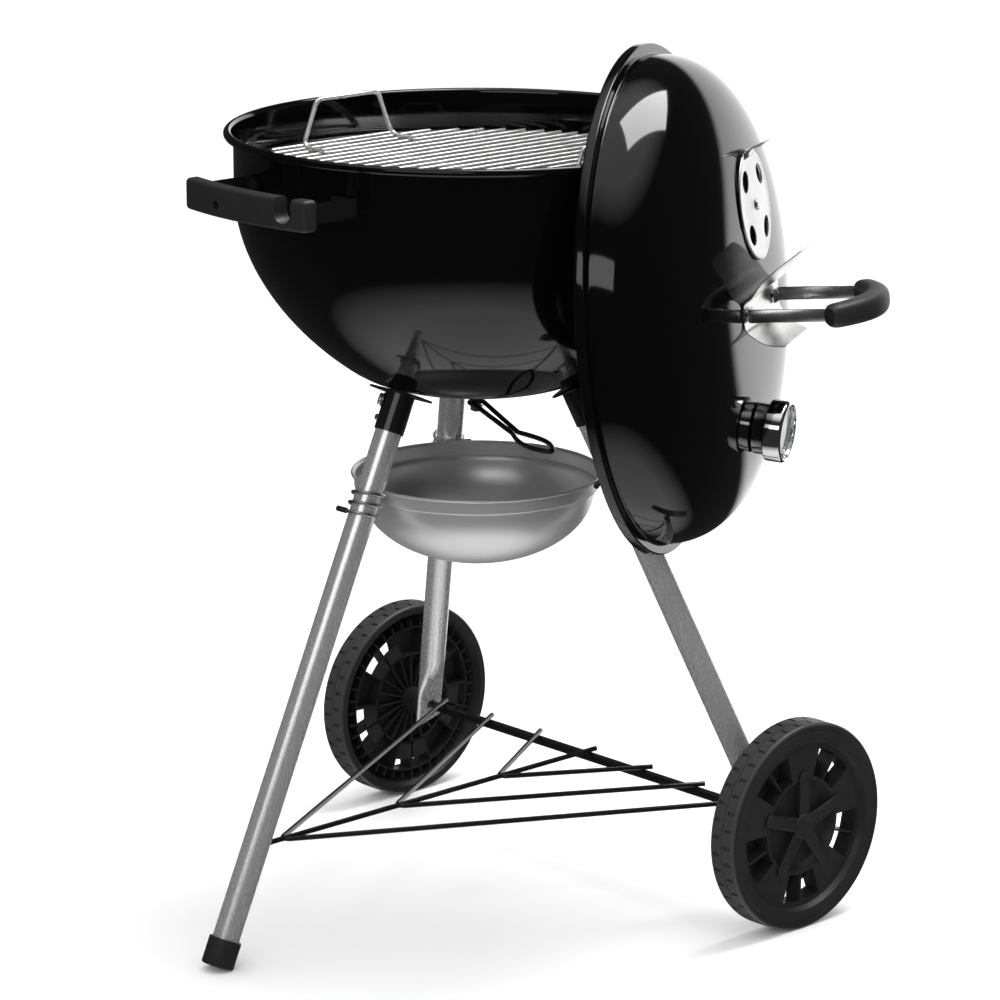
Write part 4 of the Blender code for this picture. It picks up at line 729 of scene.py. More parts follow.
class GRILL_OT_bowl_handle(GrillStep, bpy.types.Operator):
    """Mould the bowl's bowed grip with its hook notch and hanging hole, and give its two straps a gloss black
    finish
    """
    bl_idname = "grill.bowl_handle"
    bl_label = "Bowl Handle"

    def build(self, sizes):
        depth, bow, height = 0.0160, 0.0090, 0.0290
        steps = 32
        stations = [GRIP_HALF * (2 * k / steps - 1) for k in range(steps + 1)]
        front = [(x, GRIP_Y - depth / 2 + bow * (x / GRIP_HALF) ** 2) for x in stations]
        back = [(x, y + depth) for x, y in reversed(front)]
        low = GRIP_MIDDLE - height / 2
        grip = new_object("bowl_grip", extruded("bowl_grip", front + back, low, low + height, KETTLE))
        soften(grip, 0.0050, 5, 50)
        notch_x = GRIP_HALF - 0.026
        wide = 0.0100
        notch = [(notch_x + wide, 0.76), (notch_x - wide, 0.76),
                 (notch_x - wide, low + height - 0.0125)] + \
            arc(notch_x, low + height - 0.0125, wide, 180, 360, 16)[1:-1] + \
            [(notch_x + wide, low + height - 0.0125)]
        upright = KETTLE @ Matrix(((1, 0, 0, 0), (0, 0, 1, 0), (0, 1, 0, 0), (0, 0, 0, 1)))
        hole = arc(-0.031, GRIP_MIDDLE - 0.003, 0.0045, 0, 360 * 31 / 32, 31)
        tools = [extruded("notch", notch, GRIP_Y - 0.03, GRIP_Y + 0.03, upright),
                 extruded("hole", hole, GRIP_Y - 0.03, GRIP_Y + 0.03, upright)]
        cut_away(grip, joined("grip_cuts", tools))
        soft_lip = grip.modifiers.new("soft_lip", "BEVEL")
        soft_lip.width = 0.0007
        soft_lip.segments = 2
        soft_lip.limit_method = "ANGLE"
        soft_lip.angle_limit = math.radians(50)
        fitted(grip, "grained_nylon", "stand", "black_nylon", "bowl_handle_grip", angle=40)
        repaint("gloss_black", "bowl_handle_strap_left", "bowl_handle_strap_right")


class GRILL_OT_grates(GrillStep, bpy.types.Operator):
    """Bend and weld the wires of both grates"""
    bl_idname = "grill.grates"
    bl_label = "Grates"

    def rods(self, ring, pitch, height):
        reach = int(ring / pitch)
        lines = [k * pitch for k in range(-reach, reach + 1) if abs(k * pitch) < ring - 0.006]
        return [[(x, -math.sqrt(ring ** 2 - x ** 2), height), (x, math.sqrt(ring ** 2 - x ** 2), height)]
                for x in lines]

    def build(self, sizes):
        ring, rod, bite = 0.2195, 0.0022, 0.0010
        ring_z = RIM_HEIGHT - 0.0370 - 0.0030
        rod_z = ring_z + 0.0030 + rod - bite
        cross_z, wire_z = rod_z - 2 * rod + bite, rod_z + 2 * rod - bite
        place = ("plated_wire", "cooking_grate", "plated_wire", "cooking_grate")
        loops = self.rods(ring, sizes.rod_pitch, rod_z) + [[(-ring, 0, cross_z), (ring, 0, cross_z)]]
        for sign in (-1, 1):
            inner, outer, foot, top = sign * 0.1500, sign * 0.1840, 0.0565, 0.0385
            high = wire_z + 0.0440
            loops.append([(inner, -foot, wire_z), (outer, -foot, wire_z), (outer, -top, high),
                          (outer, top, high), (outer, foot, wire_z), (inner, foot, wire_z)])
        wires("grate_wires", loops, rod, *place, bend=0.009)
        hoop = [[(x, y, ring_z) for x, y in circle(ring, 120)]]
        wires("grate_hoop", hoop, 0.0030, *place, bend=0.0, closed=True)
        coal_ring, coal_z = 0.1690, 0.5800
        coal_rod = 0.0028
        rods_z = coal_z + 0.0030 + coal_rod - bite
        bar_z = rods_z - 2 * coal_rod + bite
        half = math.sqrt(0.75) * coal_ring
        bars = [[(-half, y, bar_z), (half, y, bar_z)] for y in (-coal_ring / 2, coal_ring / 2)]
        place = ("satin_black", "charcoal_grate", "black_steel", "charcoal_grate")
        wires("charcoal_wires", self.rods(coal_ring, 0.0200, rods_z) + bars, coal_rod, *place)
        hoop = [[(x, y, coal_z) for x, y in circle(coal_ring, 96)]]
        wires("charcoal_hoop", hoop, 0.0030, *place, bend=0.0, closed=True)


class GRILL_OT_lid(GrillStep, bpy.types.Operator):
    """Spin the hung lid with its rim band and cut the vents under its damper"""
    bl_idname = "grill.lid"
    bl_label = "Lid"

    def build(self, sizes):
        place = hung_lid()
        power = LID_POWERS[1]
        corner = 0.0020
        skin = [(LID_RADIUS, corner), (LID_RADIUS, LID_BAND - corner)]
        skin += arc(LID_RADIUS - corner, LID_BAND - corner, corner, 0, 90, 6)[1:]
        skin += arc(DOME_RADIUS + corner, LID_BAND + corner, corner, 270, 180, 6)
        for k in range(1, 64):
            radius = DOME_RADIUS * math.cos(math.pi / 2 * k / 64) ** (2 / power)
            if lid_depth(radius) > LID_BAND + 2.5 * corner:
                skin.append((radius, lid_depth(radius)))
        skin.append((0.0, DOME_HEIGHT))
        bead = arc(LID_RADIUS - 0.0018, 0.0018, 0.0018, 180, 360, 10)
        inner = inner_wall(skin, -sizes.sheet)
        inner[0] = (LID_RADIUS - 0.0036, 0.0018)
        lid = new_object("kettle_lid", lathe("kettle_lid", bead[1:] + skin[1:] + inner[::-1], 192, place))
        damper = on_dome(0.0100, 0.0850)
        thermo = on_dome(-0.0200, -0.1180)
        tools = [extruded("vent", arc(0.035 * math.cos(a), 0.035 * math.sin(a), 0.0090, 0, 360 * 23 / 24, 23),
                          -0.02, 0.02, damper) for a in (math.radians(45 + 90 * k) for k in range(4))]
        tools.append(extruded("rivet_hole", circle(0.0029, 20), -0.02, 0.02, damper))
        tools.append(extruded("probe_hole", circle(0.0028, 20), -0.02, 0.02, thermo))
        pole = place @ Matrix.Translation((0, -0.0070, DOME_HEIGHT))
        tools += [extruded("bolt_hole", arc(s * 0.0460, 0, 0.0023, 0, 360 * 19 / 20, 19), -0.02, 0.02, pole)
                  for s in (-1, 1)]
        cut_away(lid, joined("lid_cuts", tools))
        fitted(lid, "gloss_enamel", "lid", "black_enamel", "lid")
        repaint("drawn_tube", "lid_hook")


class GRILL_OT_lid_handle(GrillStep, bpy.types.Operator):
    """Form the lid's polished heat shield, its two strap arms and the bowed grip"""
    bl_idname = "grill.lid_handle"
    bl_label = "Lid Handle"

    def build(self, sizes):
        pole = hung_lid() @ Matrix.Translation((0, -0.0070, DOME_HEIGHT))
        self.shield(pole)
        self.straps(pole)
        self.grip(pole)

    def shield(self, pole):
        """A bent sheet with rounded lobes above and below its seat."""
        curve = ((-0.0312, 0.0310), (-0.0276, 0.0170), (-0.0191, 0.0065), (-0.0105, 0.0), (0.0105, 0.0),
                 (0.0180, 0.0080), (0.0324, 0.0194), (0.0458, 0.0360), (0.0565, 0.0510))
        points = [Vector((y, z + 0.0007)) for y, z in curve]
        fine = []
        for i in range(len(points) - 1):
            a, b, c, d = points[max(i - 1, 0)], points[i], points[i + 1], points[min(i + 2, len(points) - 1)]
            for k in range(6):
                t = k / 6
                fine.append(0.5 * ((2 * b) + (c - a) * t + (2 * a - 5 * b + 4 * c - d) * t * t
                                   + (3 * b - a - 3 * c + d) * t ** 3))
        fine.append(points[-1])
        low_end, high_end = fine[0].x, fine[-1].x
        bm = bmesh.new()
        across = 24
        rows = []
        for point in fine:
            near_end = min(point.x - low_end, high_end - point.x)
            corner = min(1.0, near_end / 0.0220)
            half = 0.0400 + 0.0220 * math.sqrt(max(0.0, 1 - (1 - corner) ** 2))
            rows.append([bm.verts.new(pole @ Vector((half * (2 * k / across - 1), point.x, point.y)))
                         for k in range(across + 1)])
        for low, high in zip(rows, rows[1:]):
            for k in range(across):
                bm.faces.new((low[k], low[k + 1], high[k + 1], high[k]))
        shield = new_object("lid_shield", as_mesh("lid_shield", bm, 60))
        wall = shield.modifiers.new("sheet", "SOLIDIFY")
        wall.thickness = 0.0008
        wall.offset = 0.0
        fitted(shield, "polished_strip", "lid", "plated_wire", "heat_shield", angle=50)

    def straps(self, pole):
        """Flat arms with rounded corners, bolted through the shield."""
        foot, top = 0.0024, 0.0024 + 0.0660 + 0.0100
        sideways = pole @ Matrix(((0, 1, 0, 0), (1, 0, 0, 0), (0, 0, 1, 0), (0, 0, 0, 1)))
        for sign, side in ((-1, "left"), (1, "right")):
            bend = [(sign * (0.0550 - 0.0040 + 0.0040 * math.sin(a)), foot + 0.0040 - 0.0040 * math.cos(a))
                    for a in (math.pi / 2 * k / 8 for k in range(9))]
            path = [(sign * 0.0400, foot)] + bend + [(sign * 0.0550, top)]
            arm = new_object(f"lid_arm_{side}", strip(f"lid_arm_{side}", path, 0.0125, 0.0020, sideways))
            soften(arm, 0.0005, 2, 50)
            fitted(arm, "pressed_aluminium", "lid", "bright_zinc", f"lid_handle_strap_{side}")
            fixing = pole @ Matrix.Translation((sign * 0.0460, 0, foot + 0.0010))
            head = arc(0, -0.0012, 0.0046, 32, 90, 6)
            outline = [(0.0, 0.0003), (0.0039, 0.0003), (0.0039, 0.0011)] + head[:-1] + [(0.0, 0.0034)]
            low = -0.0262
            shank = [(0.0, low), (0.0040, low), (0.0040, low + 0.0025), (0.0020, low + 0.0025),
                     (0.0020, 0.0003)]
            bolt = new_object(f"lid_bolt_{side}", lathe(f"lid_bolt_{side}", shank + outline[1:], 24, fixing))
            fitted(bolt, "zinc_plate", "lid", "bright_zinc", f"lid_handle_bolt_{side}")

    def grip(self, pole):
        """A bowed nylon bar with a rounded-square section, thicker in the middle."""
        base, radius, bow = 0.0024 + 0.0660, 0.0120, 0.0270
        end = 0.0550 + radius * 0.75
        steps, around = 48, 40
        bm = bmesh.new()
        rings = []
        for i in range(steps + 1):
            t = 2 * i / steps - 1
            cap = min(1.0, (1 - abs(t)) / 0.09)
            swell = (0.90 + 0.10 * (1 - t * t)) * (0.72 + 0.28 * math.sqrt(max(0.0, 1 - (1 - cap) ** 2)))
            middle = Vector((end * t, 0, base + radius + bow * (1 - t * t)))
            along = Vector((end, 0, -2 * bow * t)).normalized()
            up = Vector((-along.z, 0, along.x))
            ring = []
            for k in range(around):
                a = TAU * k / around
                c, s = math.cos(a), math.sin(a)
                across = math.copysign(abs(c) ** 0.72, c) * radius * swell
                rise = math.copysign(abs(s) ** 0.72, s) * radius * swell
                ring.append(bm.verts.new(pole @ (middle + Vector((0, across, 0)) + up * rise)))
            rings.append(ring)
        for low, high in zip(rings, rings[1:]):
            for k in range(around):
                bm.faces.new((low[k - 1], low[k], high[k], high[k - 1]))
        bm.faces.new(rings[0])
        bm.faces.new(rings[-1])
        grip = new_object("lid_grip", as_mesh("lid_grip", bm, 50))
        fitted(grip, "grained_nylon", "lid", "black_nylon", "lid_handle_grip", angle=50)


class GRILL_OT_lid_fittings(GrillStep, bpy.types.Operator):
    """Press the lid's damper and turn its thermometer"""
    bl_idname = "grill.lid_fittings"
    bl_label = "Damper and Thermometer"

    def build(self, sizes):
        self.damper(on_dome(0.0100, 0.0850))
        self.gauge(on_dome(-0.0200, -0.1180))

    def damper(self, place):
        """A slightly domed disc with a rolled edge, four holes and a curled tab."""
        lift, radius, sheet = 0.0009, 0.0515, 0.0010
        drop = radius ** 2 / 2
        top = [(r, lift + sheet - drop * (r / radius) ** 2) for r in
               (0.0029, 0.0080, 0.0120, 0.0240, 0.0360, 0.0480)]
        edge = [(0.0500, top[-1][1] + 0.0004), (0.0511, top[-1][1]), (radius, top[-1][1] - 0.0006)]
        under = [(r, lift - drop * (r / radius) ** 2) for r in (radius - 0.0003, 0.0480, 0.0240, 0.0029)]
        disc = new_object("damper_disc", lathe("damper_disc", top + edge + under, 96, place))
        tools = []
        for k in range(4):
            turn = place @ Matrix.Rotation(math.radians(45 + 90 * k), 4, "Z") @ \
                Matrix.Translation((0.0350, 0, 0))
            oval = [(x * 0.85, y * 1.12) for x, y in circle(0.0100, 32)]
            tools.append(extruded("hole", oval, -0.01, 0.01, turn))
        cut_away(disc, joined("damper_cuts", tools))
        fitted(disc, "pressed_aluminium", "lid_damper", "aluminium", "lid_damper")
        base = lift + sheet / 2 - drop * 0.8
        curve = ((0.0440, 0.0002), (0.0480, 0.0004), (0.0505, 0.0016), (0.0522, 0.0046), (0.0534, 0.0086),
                 (0.0546, 0.0130), (0.0555, 0.0178))
        path = [(y, base + z) for y, z in curve]
        tab = new_object("damper_tab", strip("damper_tab", path, 0.0360, 0.0009, place))
        soften(tab, 0.0003, 2, 50)
        fitted(tab, "pressed_aluminium", "lid_damper", "aluminium", "lid_damper")
        repaint("zinc_plate", "damper_rivet")

    def gauge(self, place):
        """Two-step chrome bezel over a printed dial."""
        wide, slim, deep = 0.0290, 0.0240, 0.0300
        step = deep * 0.42
        outline = [(0.0028, 0.0003), (slim - 0.001, 0.0003)] + arc(slim - 0.0012, 0.0015, 0.0012, -60, 0, 4)
        outline += [(slim, step - 0.0020), (slim + 0.0006, step - 0.0006)]
        outline += arc(wide - 0.0012, step + 0.0012, 0.0012, -90, 0, 5) + \
            arc(wide - 0.0030, deep - 0.0030, 0.0030, 0, 90, 8)
        outline += arc(wide - 0.0030, deep - 0.0012, 0.0012, 90, 180, 5)
        outline += [(wide - 0.0042, 0.0270), (wide - 0.0016, 0.0262), (wide - 0.0016, 0.0155),
                    (slim - 0.002, 0.0155), (slim - 0.002, 0.0024), (0.0028, 0.0024)]
        bezel = new_object("gauge_bezel", lathe("gauge_bezel", outline, 80, place, 30))
        fitted(bezel, "chrome", "lid", "chrome_trim", "thermometer_bezel", angle=30)
        inside = wide - 0.0019
        disc = [(0.0012, 0.0158), (inside, 0.0158), (inside, 0.0170), (0.0012, 0.0170)]
        dial = new_object("gauge_dial", lathe("gauge_dial", disc, 64, place))
        layer = dial.data.uv_layers.new(name="print")
        into = place.inverted()
        for loop in dial.data.loops:
            point = into @ dial.data.vertices[loop.vertex_index].co
            layer.data[loop.index].uv = (0.5 + point.x / (2 * inside), 0.5 + point.y / (2 * inside))
        fitted(dial, "dial_print", "lid", "dial_card", "thermometer_dial")
        pane = [(0.0, 0.0240), (inside, 0.0240), (inside, 0.0258), (0.0, 0.0258)]
        glass = new_object("gauge_pane", lathe("gauge_pane", pane, 64, place))
        fitted(glass, "gauge_glass", "lid", "gauge_glass", "thermometer_glass")
        repaint("gloss_black", "thermometer_pointer")
        repaint("zinc_plate", "thermometer_probe", "thermometer_nut")


class GRILL_OT_legs(GrillStep, bpy.types.Operator):
    """Draw the three tube legs, their sockets, fixings and foot cap"""
    bl_idname = "grill.legs"
    bl_label = "Legs"

    def build(self, sizes):
        turns = {"front": 36.0, "right": -50.0, "left": 50.0}
        for which in ("front", "left", "right"):
            place, length = leg_place(which)
            holes = []
            for station, radius in ((0.0125, 0.0031), (0.0295, 0.0036)):
                at = place @ Matrix.Translation((0, 0, station)) @ \
                    Matrix.Rotation(math.radians(turns[which]), 4, "Z") @ Matrix.Rotation(math.pi / 2, 4, "Y")
                holes.append(extruded("fixing_hole", circle(radius, 24), 0.0065, 0.0190, at))
            self.leg(which, place, length, joined("fixing_holes", holes))
            self.socket(which, place, joined("fixing_holes", holes))
            at = place @ Matrix.Translation((0, 0, 0.0125)) @ \
                Matrix.Rotation(math.radians(turns[which]), 4, "Z") @ Matrix.Rotation(math.pi / 2, 4, "Y")
            self.bolt(which, at)
        repaint("zinc_plate", "snap_button_front", "snap_button_left", "snap_button_right")

    def leg(self, which, place, length, holes):
        """A round tube; the wheel legs end in a pressed palm around the axle."""
        if which == "front":
            down = (place.to_3x3() @ Vector((0, 0, 1))).z
            end = length - 0.0030 / -down - 0.0070 - CLEAR
            tube = [(LEG_RADIUS - LEG_WALL, 0.0048), (LEG_RADIUS, 0.0048), (LEG_RADIUS, end),
                    (LEG_RADIUS - LEG_WALL, end)]
            leg = new_object("tube_front", lathe("tube_front", tube, 64, place))
            cut_away(leg, holes)
            fitted(leg, "drawn_tube", "stand", "leg_steel", "front_leg")
            self.foot(place, end)
            return
        sides = 64
        into = place.to_3x3().inverted() @ Vector((1, 0, 0))
        flat = Vector((into.x, into.y, 0)).normalized()
        wide = Vector((-flat.y, flat.x, 0))
        flare, palm = length - 0.0700, length - 0.0180

        def ring(station, share, inset):
            half_wide = LEG_RADIUS + (0.0170 - LEG_RADIUS) * share - inset
            half_flat = LEG_RADIUS + (0.0025 - LEG_RADIUS) * share - inset
            power = 1 - 0.45 * share
            points = []
            for k in range(sides):
                c, s = math.cos(TAU * k / sides), math.sin(TAU * k / sides)
                points.append(wide * (half_wide * math.copysign(abs(c) ** power, c))
                              + flat * (half_flat * math.copysign(abs(s) ** power, s))
                              + Vector((0, 0, station)))
            return points

        outer = [(0.0048, 0.0), (flare, 0.0)]
        for k in range(1, 11):
            t = k / 10
            outer.append((flare + (palm - flare) * t, t * t * (3 - 2 * t)))
        outer.append((length + 0.0200, 1.0))
        inner = [(0.0048, 0.0), (flare, 0.0)]
        bm = bmesh.new()
        out = [[bm.verts.new(place @ p) for p in ring(at, share, 0.0)] for at, share in outer]
        bore = [[bm.verts.new(place @ p) for p in ring(at, share, LEG_WALL)] for at, share in inner]
        for low, high in list(zip(out, out[1:])) + list(zip(bore, bore[1:])) + [(out[0], bore[0])]:
            for k in range(sides):
                bm.faces.new((low[k - 1], low[k], high[k], high[k - 1]))
        bm.faces.new(out[-1])
        bm.faces.new(bore[-1])
        leg = new_object(f"tube_{which}", as_mesh(f"tube_{which}", bm))
        side = 1 if which == "right" else -1
        across = placing(Vector((side * AXLE_X, AXLE_Y, WHEEL_RADIUS)), (0, side, 0), (0, 0, 1), (side, 0, 0))
        cut_away(leg, holes, extruded("axle_hole", circle(0.0054, 32), -0.03, 0.03, KETTLE @ across))
        fitted(leg, "drawn_tube", "stand", "leg_steel", f"wheel_leg_{which}")

    def foot(self, place, end):
        bore, outside = LEG_RADIUS + CLEAR, LEG_RADIUS + CLEAR + 0.0024
        bottom = end + CLEAR + 0.0070
        cup = [(bore, bottom - 0.026), (bore + 0.0008, bottom - 0.0264), (outside - 0.0006, bottom - 0.0264),
               (outside, bottom - 0.0258), (outside, bottom - 0.0016), (outside - 0.0005, bottom - 0.0005),
               (outside - 0.0016, bottom), (0, bottom), (0, bottom - 0.0070), (bore, bottom - 0.0070)]
        cap = new_object("foot_boot", lathe("foot_boot", cup, 64, place))
        slab = [(-0.2, -0.5), (0.2, -0.5), (0.2, 0.0), (-0.2, 0.0)]
        cut_away(cap, extruded("floor_plane", slab, -0.05, 0.0, Matrix.Identity(4)))
        fitted(cap, "grained_nylon", "stand", "black_nylon", "foot_cap")

    def socket(self, which, place, holes):
        """A sleeve welded under the bowl behind a flat plate."""
        bore = LEG_RADIUS + CLEAR
        tube = [(bore, 0.0022), (bore + 0.0012, 0.0022), (bore + 0.0012, SOCKET_LENGTH - 0.0002),
                (bore + 0.0010, SOCKET_LENGTH), (bore, SOCKET_LENGTH)]
        sleeve = new_object(f"sleeve_{which}", lathe(f"sleeve_{which}", tube, 64, place))
        cut_away(sleeve, holes)
        fitted(sleeve, "gloss_black", "stand", "black_steel", f"leg_socket_{which}")
        x, y, r = 0.0150, 0.0320, 0.0060
        outline = arc(x - r, y - r, r, 0, 90, 6) + arc(r - x, y - r, r, 90, 180, 6) + \
            arc(r - x, r - y, r, 180, 270, 6) + arc(x - r, r - y, r, 270, 360, 6)
        plate = new_object(f"socket_flange_{which}",
                           extruded(f"socket_flange_{which}", outline, 0.0012, 0.0032, place))
        soften(plate, 0.0004, 2)
        fitted(plate, "gloss_black", "stand", "black_steel", f"leg_socket_{which}")

    def bolt(self, which, at):
        """A hex head with a chamfered crown."""
        low = LEG_RADIUS + CLEAR + 0.0012 + CLEAR
        head = extruded("hex", circle(0.0058, 6), low, low + 0.0040, at)
        shank = lathe("shank", [(0, 0.0097), (0.0025, 0.0097), (0.0025, low + 0.001), (0, low + 0.001)],
                      20, at)
        washer = lathe("washer", [(0.0026, low - 0.0001), (0.0068, low - 0.0001), (0.0068, low + 0.0007),
                                  (0.0026, low + 0.0007)], 32, at)
        bolt = new_object(f"hex_bolt_{which}", joined("hex_bolt", [head, shank, washer]))
        soften(bolt, 0.0004, 2, 50)
        fitted(bolt, "zinc_plate", "stand", "bright_zinc", f"socket_bolt_{which}")


class GRILL_OT_rack(GrillStep, bpy.types.Operator):
    """Bend the bottom rack's wires over the axle"""
    bl_idname = "grill.rack"
    bl_label = "Bottom Rack"

    def build(self, sizes):
        place, _ = leg_place("front")
        down = place.to_3x3() @ Vector((0, 0, 1))
        leg_y = -FOOT_REACH - down.y * RACK_HEIGHT / -down.z
        back = AXLE_Y + 0.0060
        runs = [[(0, leg_y + LEG_RADIUS * 0.7, RACK_HEIGHT), (0, back, RACK_HEIGHT)]]
        for vertex, reach in ((-0.2500, 0.2220), (-0.1070, 0.1520), (0.0260, 0.0800)):
            runs.append([(-reach, back, RACK_HEIGHT), (0, vertex, RACK_HEIGHT), (reach, back, RACK_HEIGHT)])
        wires("rack_wires", runs, 0.0025, "gloss_black", "stand", "black_steel", "bottom_rack", bend=0.006)
        tip = WHEEL_INNER + WHEEL_WIDTH - 0.0092 + 0.0030
        wires("axle_bar", [[(-tip, AXLE_Y, WHEEL_RADIUS), (tip, AXLE_Y, WHEEL_RADIUS)]], 0.0048,
              "gloss_black", "stand", "black_steel", "axle", sides=40)
        repaint("zinc_plate", "axle_clip_left", "axle_clip_right")


class GRILL_OT_wheels(GrillStep, bpy.types.Operator):
    """Mould the wheels: treads, five windows, pads, ribs and star caps"""
    bl_idname = "grill.wheels"
    bl_label = "Wheels"

    def build(self, sizes):
        for side, which in ((-1, "left"), (1, "right")):
            place = KETTLE @ placing(Vector((side * WHEEL_INNER, AXLE_Y, WHEEL_RADIUS)),
                                     (0, side, 0), (0, 0, 1), (side, 0, 0))
            self.moulding(place, side, which, sizes)
            self.ribs(place, side, which, sizes)
            self.cap(place, which)

    def moulding(self, place, side, which, sizes):
        width, dish, pad_radius = WHEEL_WIDTH, 0.0800, 0.0450
        pad, well, web = width - 0.0060, width - 0.0135, 0.0035
        hub, hub_top, bore, r = 0.0125, width - 0.0092, 0.0051, WHEEL_RADIUS
        outline = [(bore, -0.0125), (hub - 0.0005, -0.0125), (hub, -0.0120), (hub, well - web),
                   (pad_radius, well - web), (pad_radius + 0.003, pad - web), (dish + 0.003, pad - web),
                   (r - 0.0085, 0.0)]
        outline += arc(r - 0.0030, 0.0030, 0.0030, -90, 0, 6) + \
            [(r, 0.0145), (r - 0.0010, 0.0148), (r - 0.0010, 0.0151)]
        outline += [(r, 0.0154)] + arc(r - 0.0030, width - 0.0030, 0.0030, 0, 90, 6)
        outline += [(r - 0.0060, width), (r - 0.0066, width - 0.0006), (r - 0.0072, width)]
        outline += [(dish + 0.0035, width), (dish + 0.0026, width - 0.0004), (dish, pad), (pad_radius, pad),
                    (pad_radius - 0.004, well), (hub, well), (hub, hub_top - 0.0004), (hub - 0.0005, hub_top),
                    (bore, hub_top)]
        wheel = new_object(f"moulded_wheel_{which}", lathe(f"moulded_wheel_{which}", outline, 180, place))
        windows = [extruded("window", sector(0.0480, 0.0755, 90 + (k + 0.5) * 72, 38.0),
                            -0.01, width + 0.01, place) for k in range(5)]
        cut_away(wheel, joined("windows", windows), self.grooves(place, sizes))
        fitted(wheel, "moulded_plastic", f"wheel_{which}", "wheel_plastic", f"wheel_{which}", angle=30)

    def grooves(self, place, sizes):
        """Two staggered rows of short slots around the tread."""
        rows = []
        axle = Matrix(((0, 1, 0, 0), (0, 0, 1, 0), (1, 0, 0, 0), (0, 0, 0, 1)))
        for row, (low, high) in enumerate(((0.0040, 0.0118), (0.0178, 0.0256))):
            slot = extruded("groove", [(low, -0.0016), (high, -0.0016), (high, 0.0016), (low, 0.0016)],
                            WHEEL_RADIUS - 0.0016, WHEEL_RADIUS + 0.004, Matrix.Identity(4))
            made = new_object(f"groove_row_{row}", slot)
            grown(made, ring_tree, finish("moulded_plastic"), Count=sizes.tread_grooves,
                  Start_Angle=row * math.pi / sizes.tread_grooves)
            made.data.transform(place @ axle)
            rows.append(made.data.copy())
            bpy.data.objects.remove(made, do_unlink=True)
        return joined("tread_grooves", rows)

    def ribs(self, place, side, which, sizes):
        """Thin walls between the hub and the rim on the side that faces the legs."""
        axle = Matrix(((0, 1, 0, 0), (0, 0, 1, 0), (1, 0, 0, 0), (0, 0, 0, 1)))
        back = WHEEL_WIDTH - 0.0060 - 0.0035
        pieces = []
        for name, deep, half, inner, outer, count, start in (
                ("rim_ribs", back, 0.0007, 0.0760, 0.0855, sizes.wheel_ribs * 2, 0.0),
                ("hub_ribs", back - 0.0070, 0.0007, 0.0120, 0.0485, sizes.wheel_ribs, 0.0),
                ("window_fins", back + 0.0028, 0.0009, 0.0475, 0.0765, 5, math.pi / 5)):
            wall = [(0.0050, -half), (deep, -half), (deep, half), (0.0050, half)]
            made = new_object(f"{name}_{which}", extruded("wall", wall, inner, outer, Matrix.Identity(4)))
            grown(made, ring_tree, finish("moulded_plastic"), Count=count, Start_Angle=start)
            made.data.transform(place @ axle)
            pieces.append(made.data.copy())
            bpy.data.objects.remove(made, do_unlink=True)
        for inner, outer_r in ((0.0470, 0.0485), (0.0757, 0.0772)):
            ring = [(inner, 0.0050), (outer_r, 0.0050), (outer_r, back), (inner, back)]
            pieces.append(lathe("rib_ring", ring, 120, place))
        for k in range(5):
            for edge in (-20.5, 20.5):
                a = math.radians(90 + (k + 0.5) * 72 + edge)
                along, over = Vector((math.cos(a), math.sin(a))), Vector((-math.sin(a), math.cos(a))) * 0.0007
                corners = [along * 0.0480 + over, along * 0.0760 + over,
                           along * 0.0760 - over, along * 0.0480 - over]
                pieces.append(extruded("window_wall", [tuple(c) for c in corners], 0.0050, back, place))
        for k in range(5):
            pieces.append(extruded("back_web", sector(0.0475, 0.0650, 90 + (k + 0.5) * 72, 41.0),
                                   0.0050, 0.0068, place))
        ribs = new_object(f"wheel_ribs_{which}", joined("ribs", pieces))
        fitted(ribs, "moulded_plastic", f"wheel_{which}", "wheel_plastic", f"wheel_{which}", angle=30)

    def cap(self, place, which):
        """A five-armed star over the hub."""
        low = WHEEL_WIDTH - 0.0060 + CLEAR
        arms = []
        for k in range(5):
            a = math.radians(90 + 72 * k)
            turn = place @ Matrix.Translation((0, 0, low)) @ Matrix.Rotation(a, 4, "Z")
            outline = [(0.0060, -0.0070), (0.0490, -0.0060), (0.0522, -0.0048), (0.0530, -0.0030),
                       (0.0530, 0.0030), (0.0522, 0.0048), (0.0490, 0.0060), (0.0060, 0.0070)]
            arms.append(extruded("arm", outline, 0.0003, 0.0028, turn))
        body = new_object(f"star_arms_{which}", joined("star_arms", arms))
        soften(body, 0.0007, 3, 40)
        fitted(body, "moulded_plastic", f"wheel_{which}", "wheel_plastic", f"hub_cap_{which}")
        boss = [(0.0, low), (0.0125, low)] + arc(0.0107, low + 0.0024, 0.0018, 0, 90, 6) + \
            [(0.0092, low + 0.0043), (0.0084, low + 0.0038), (0.0, low + 0.0038)]
        crown = new_object(f"star_boss_{which}", lathe(f"star_boss_{which}", boss, 64, place))
        fitted(crown, "moulded_plastic", f"wheel_{which}", "wheel_plastic", f"hub_cap_{which}")


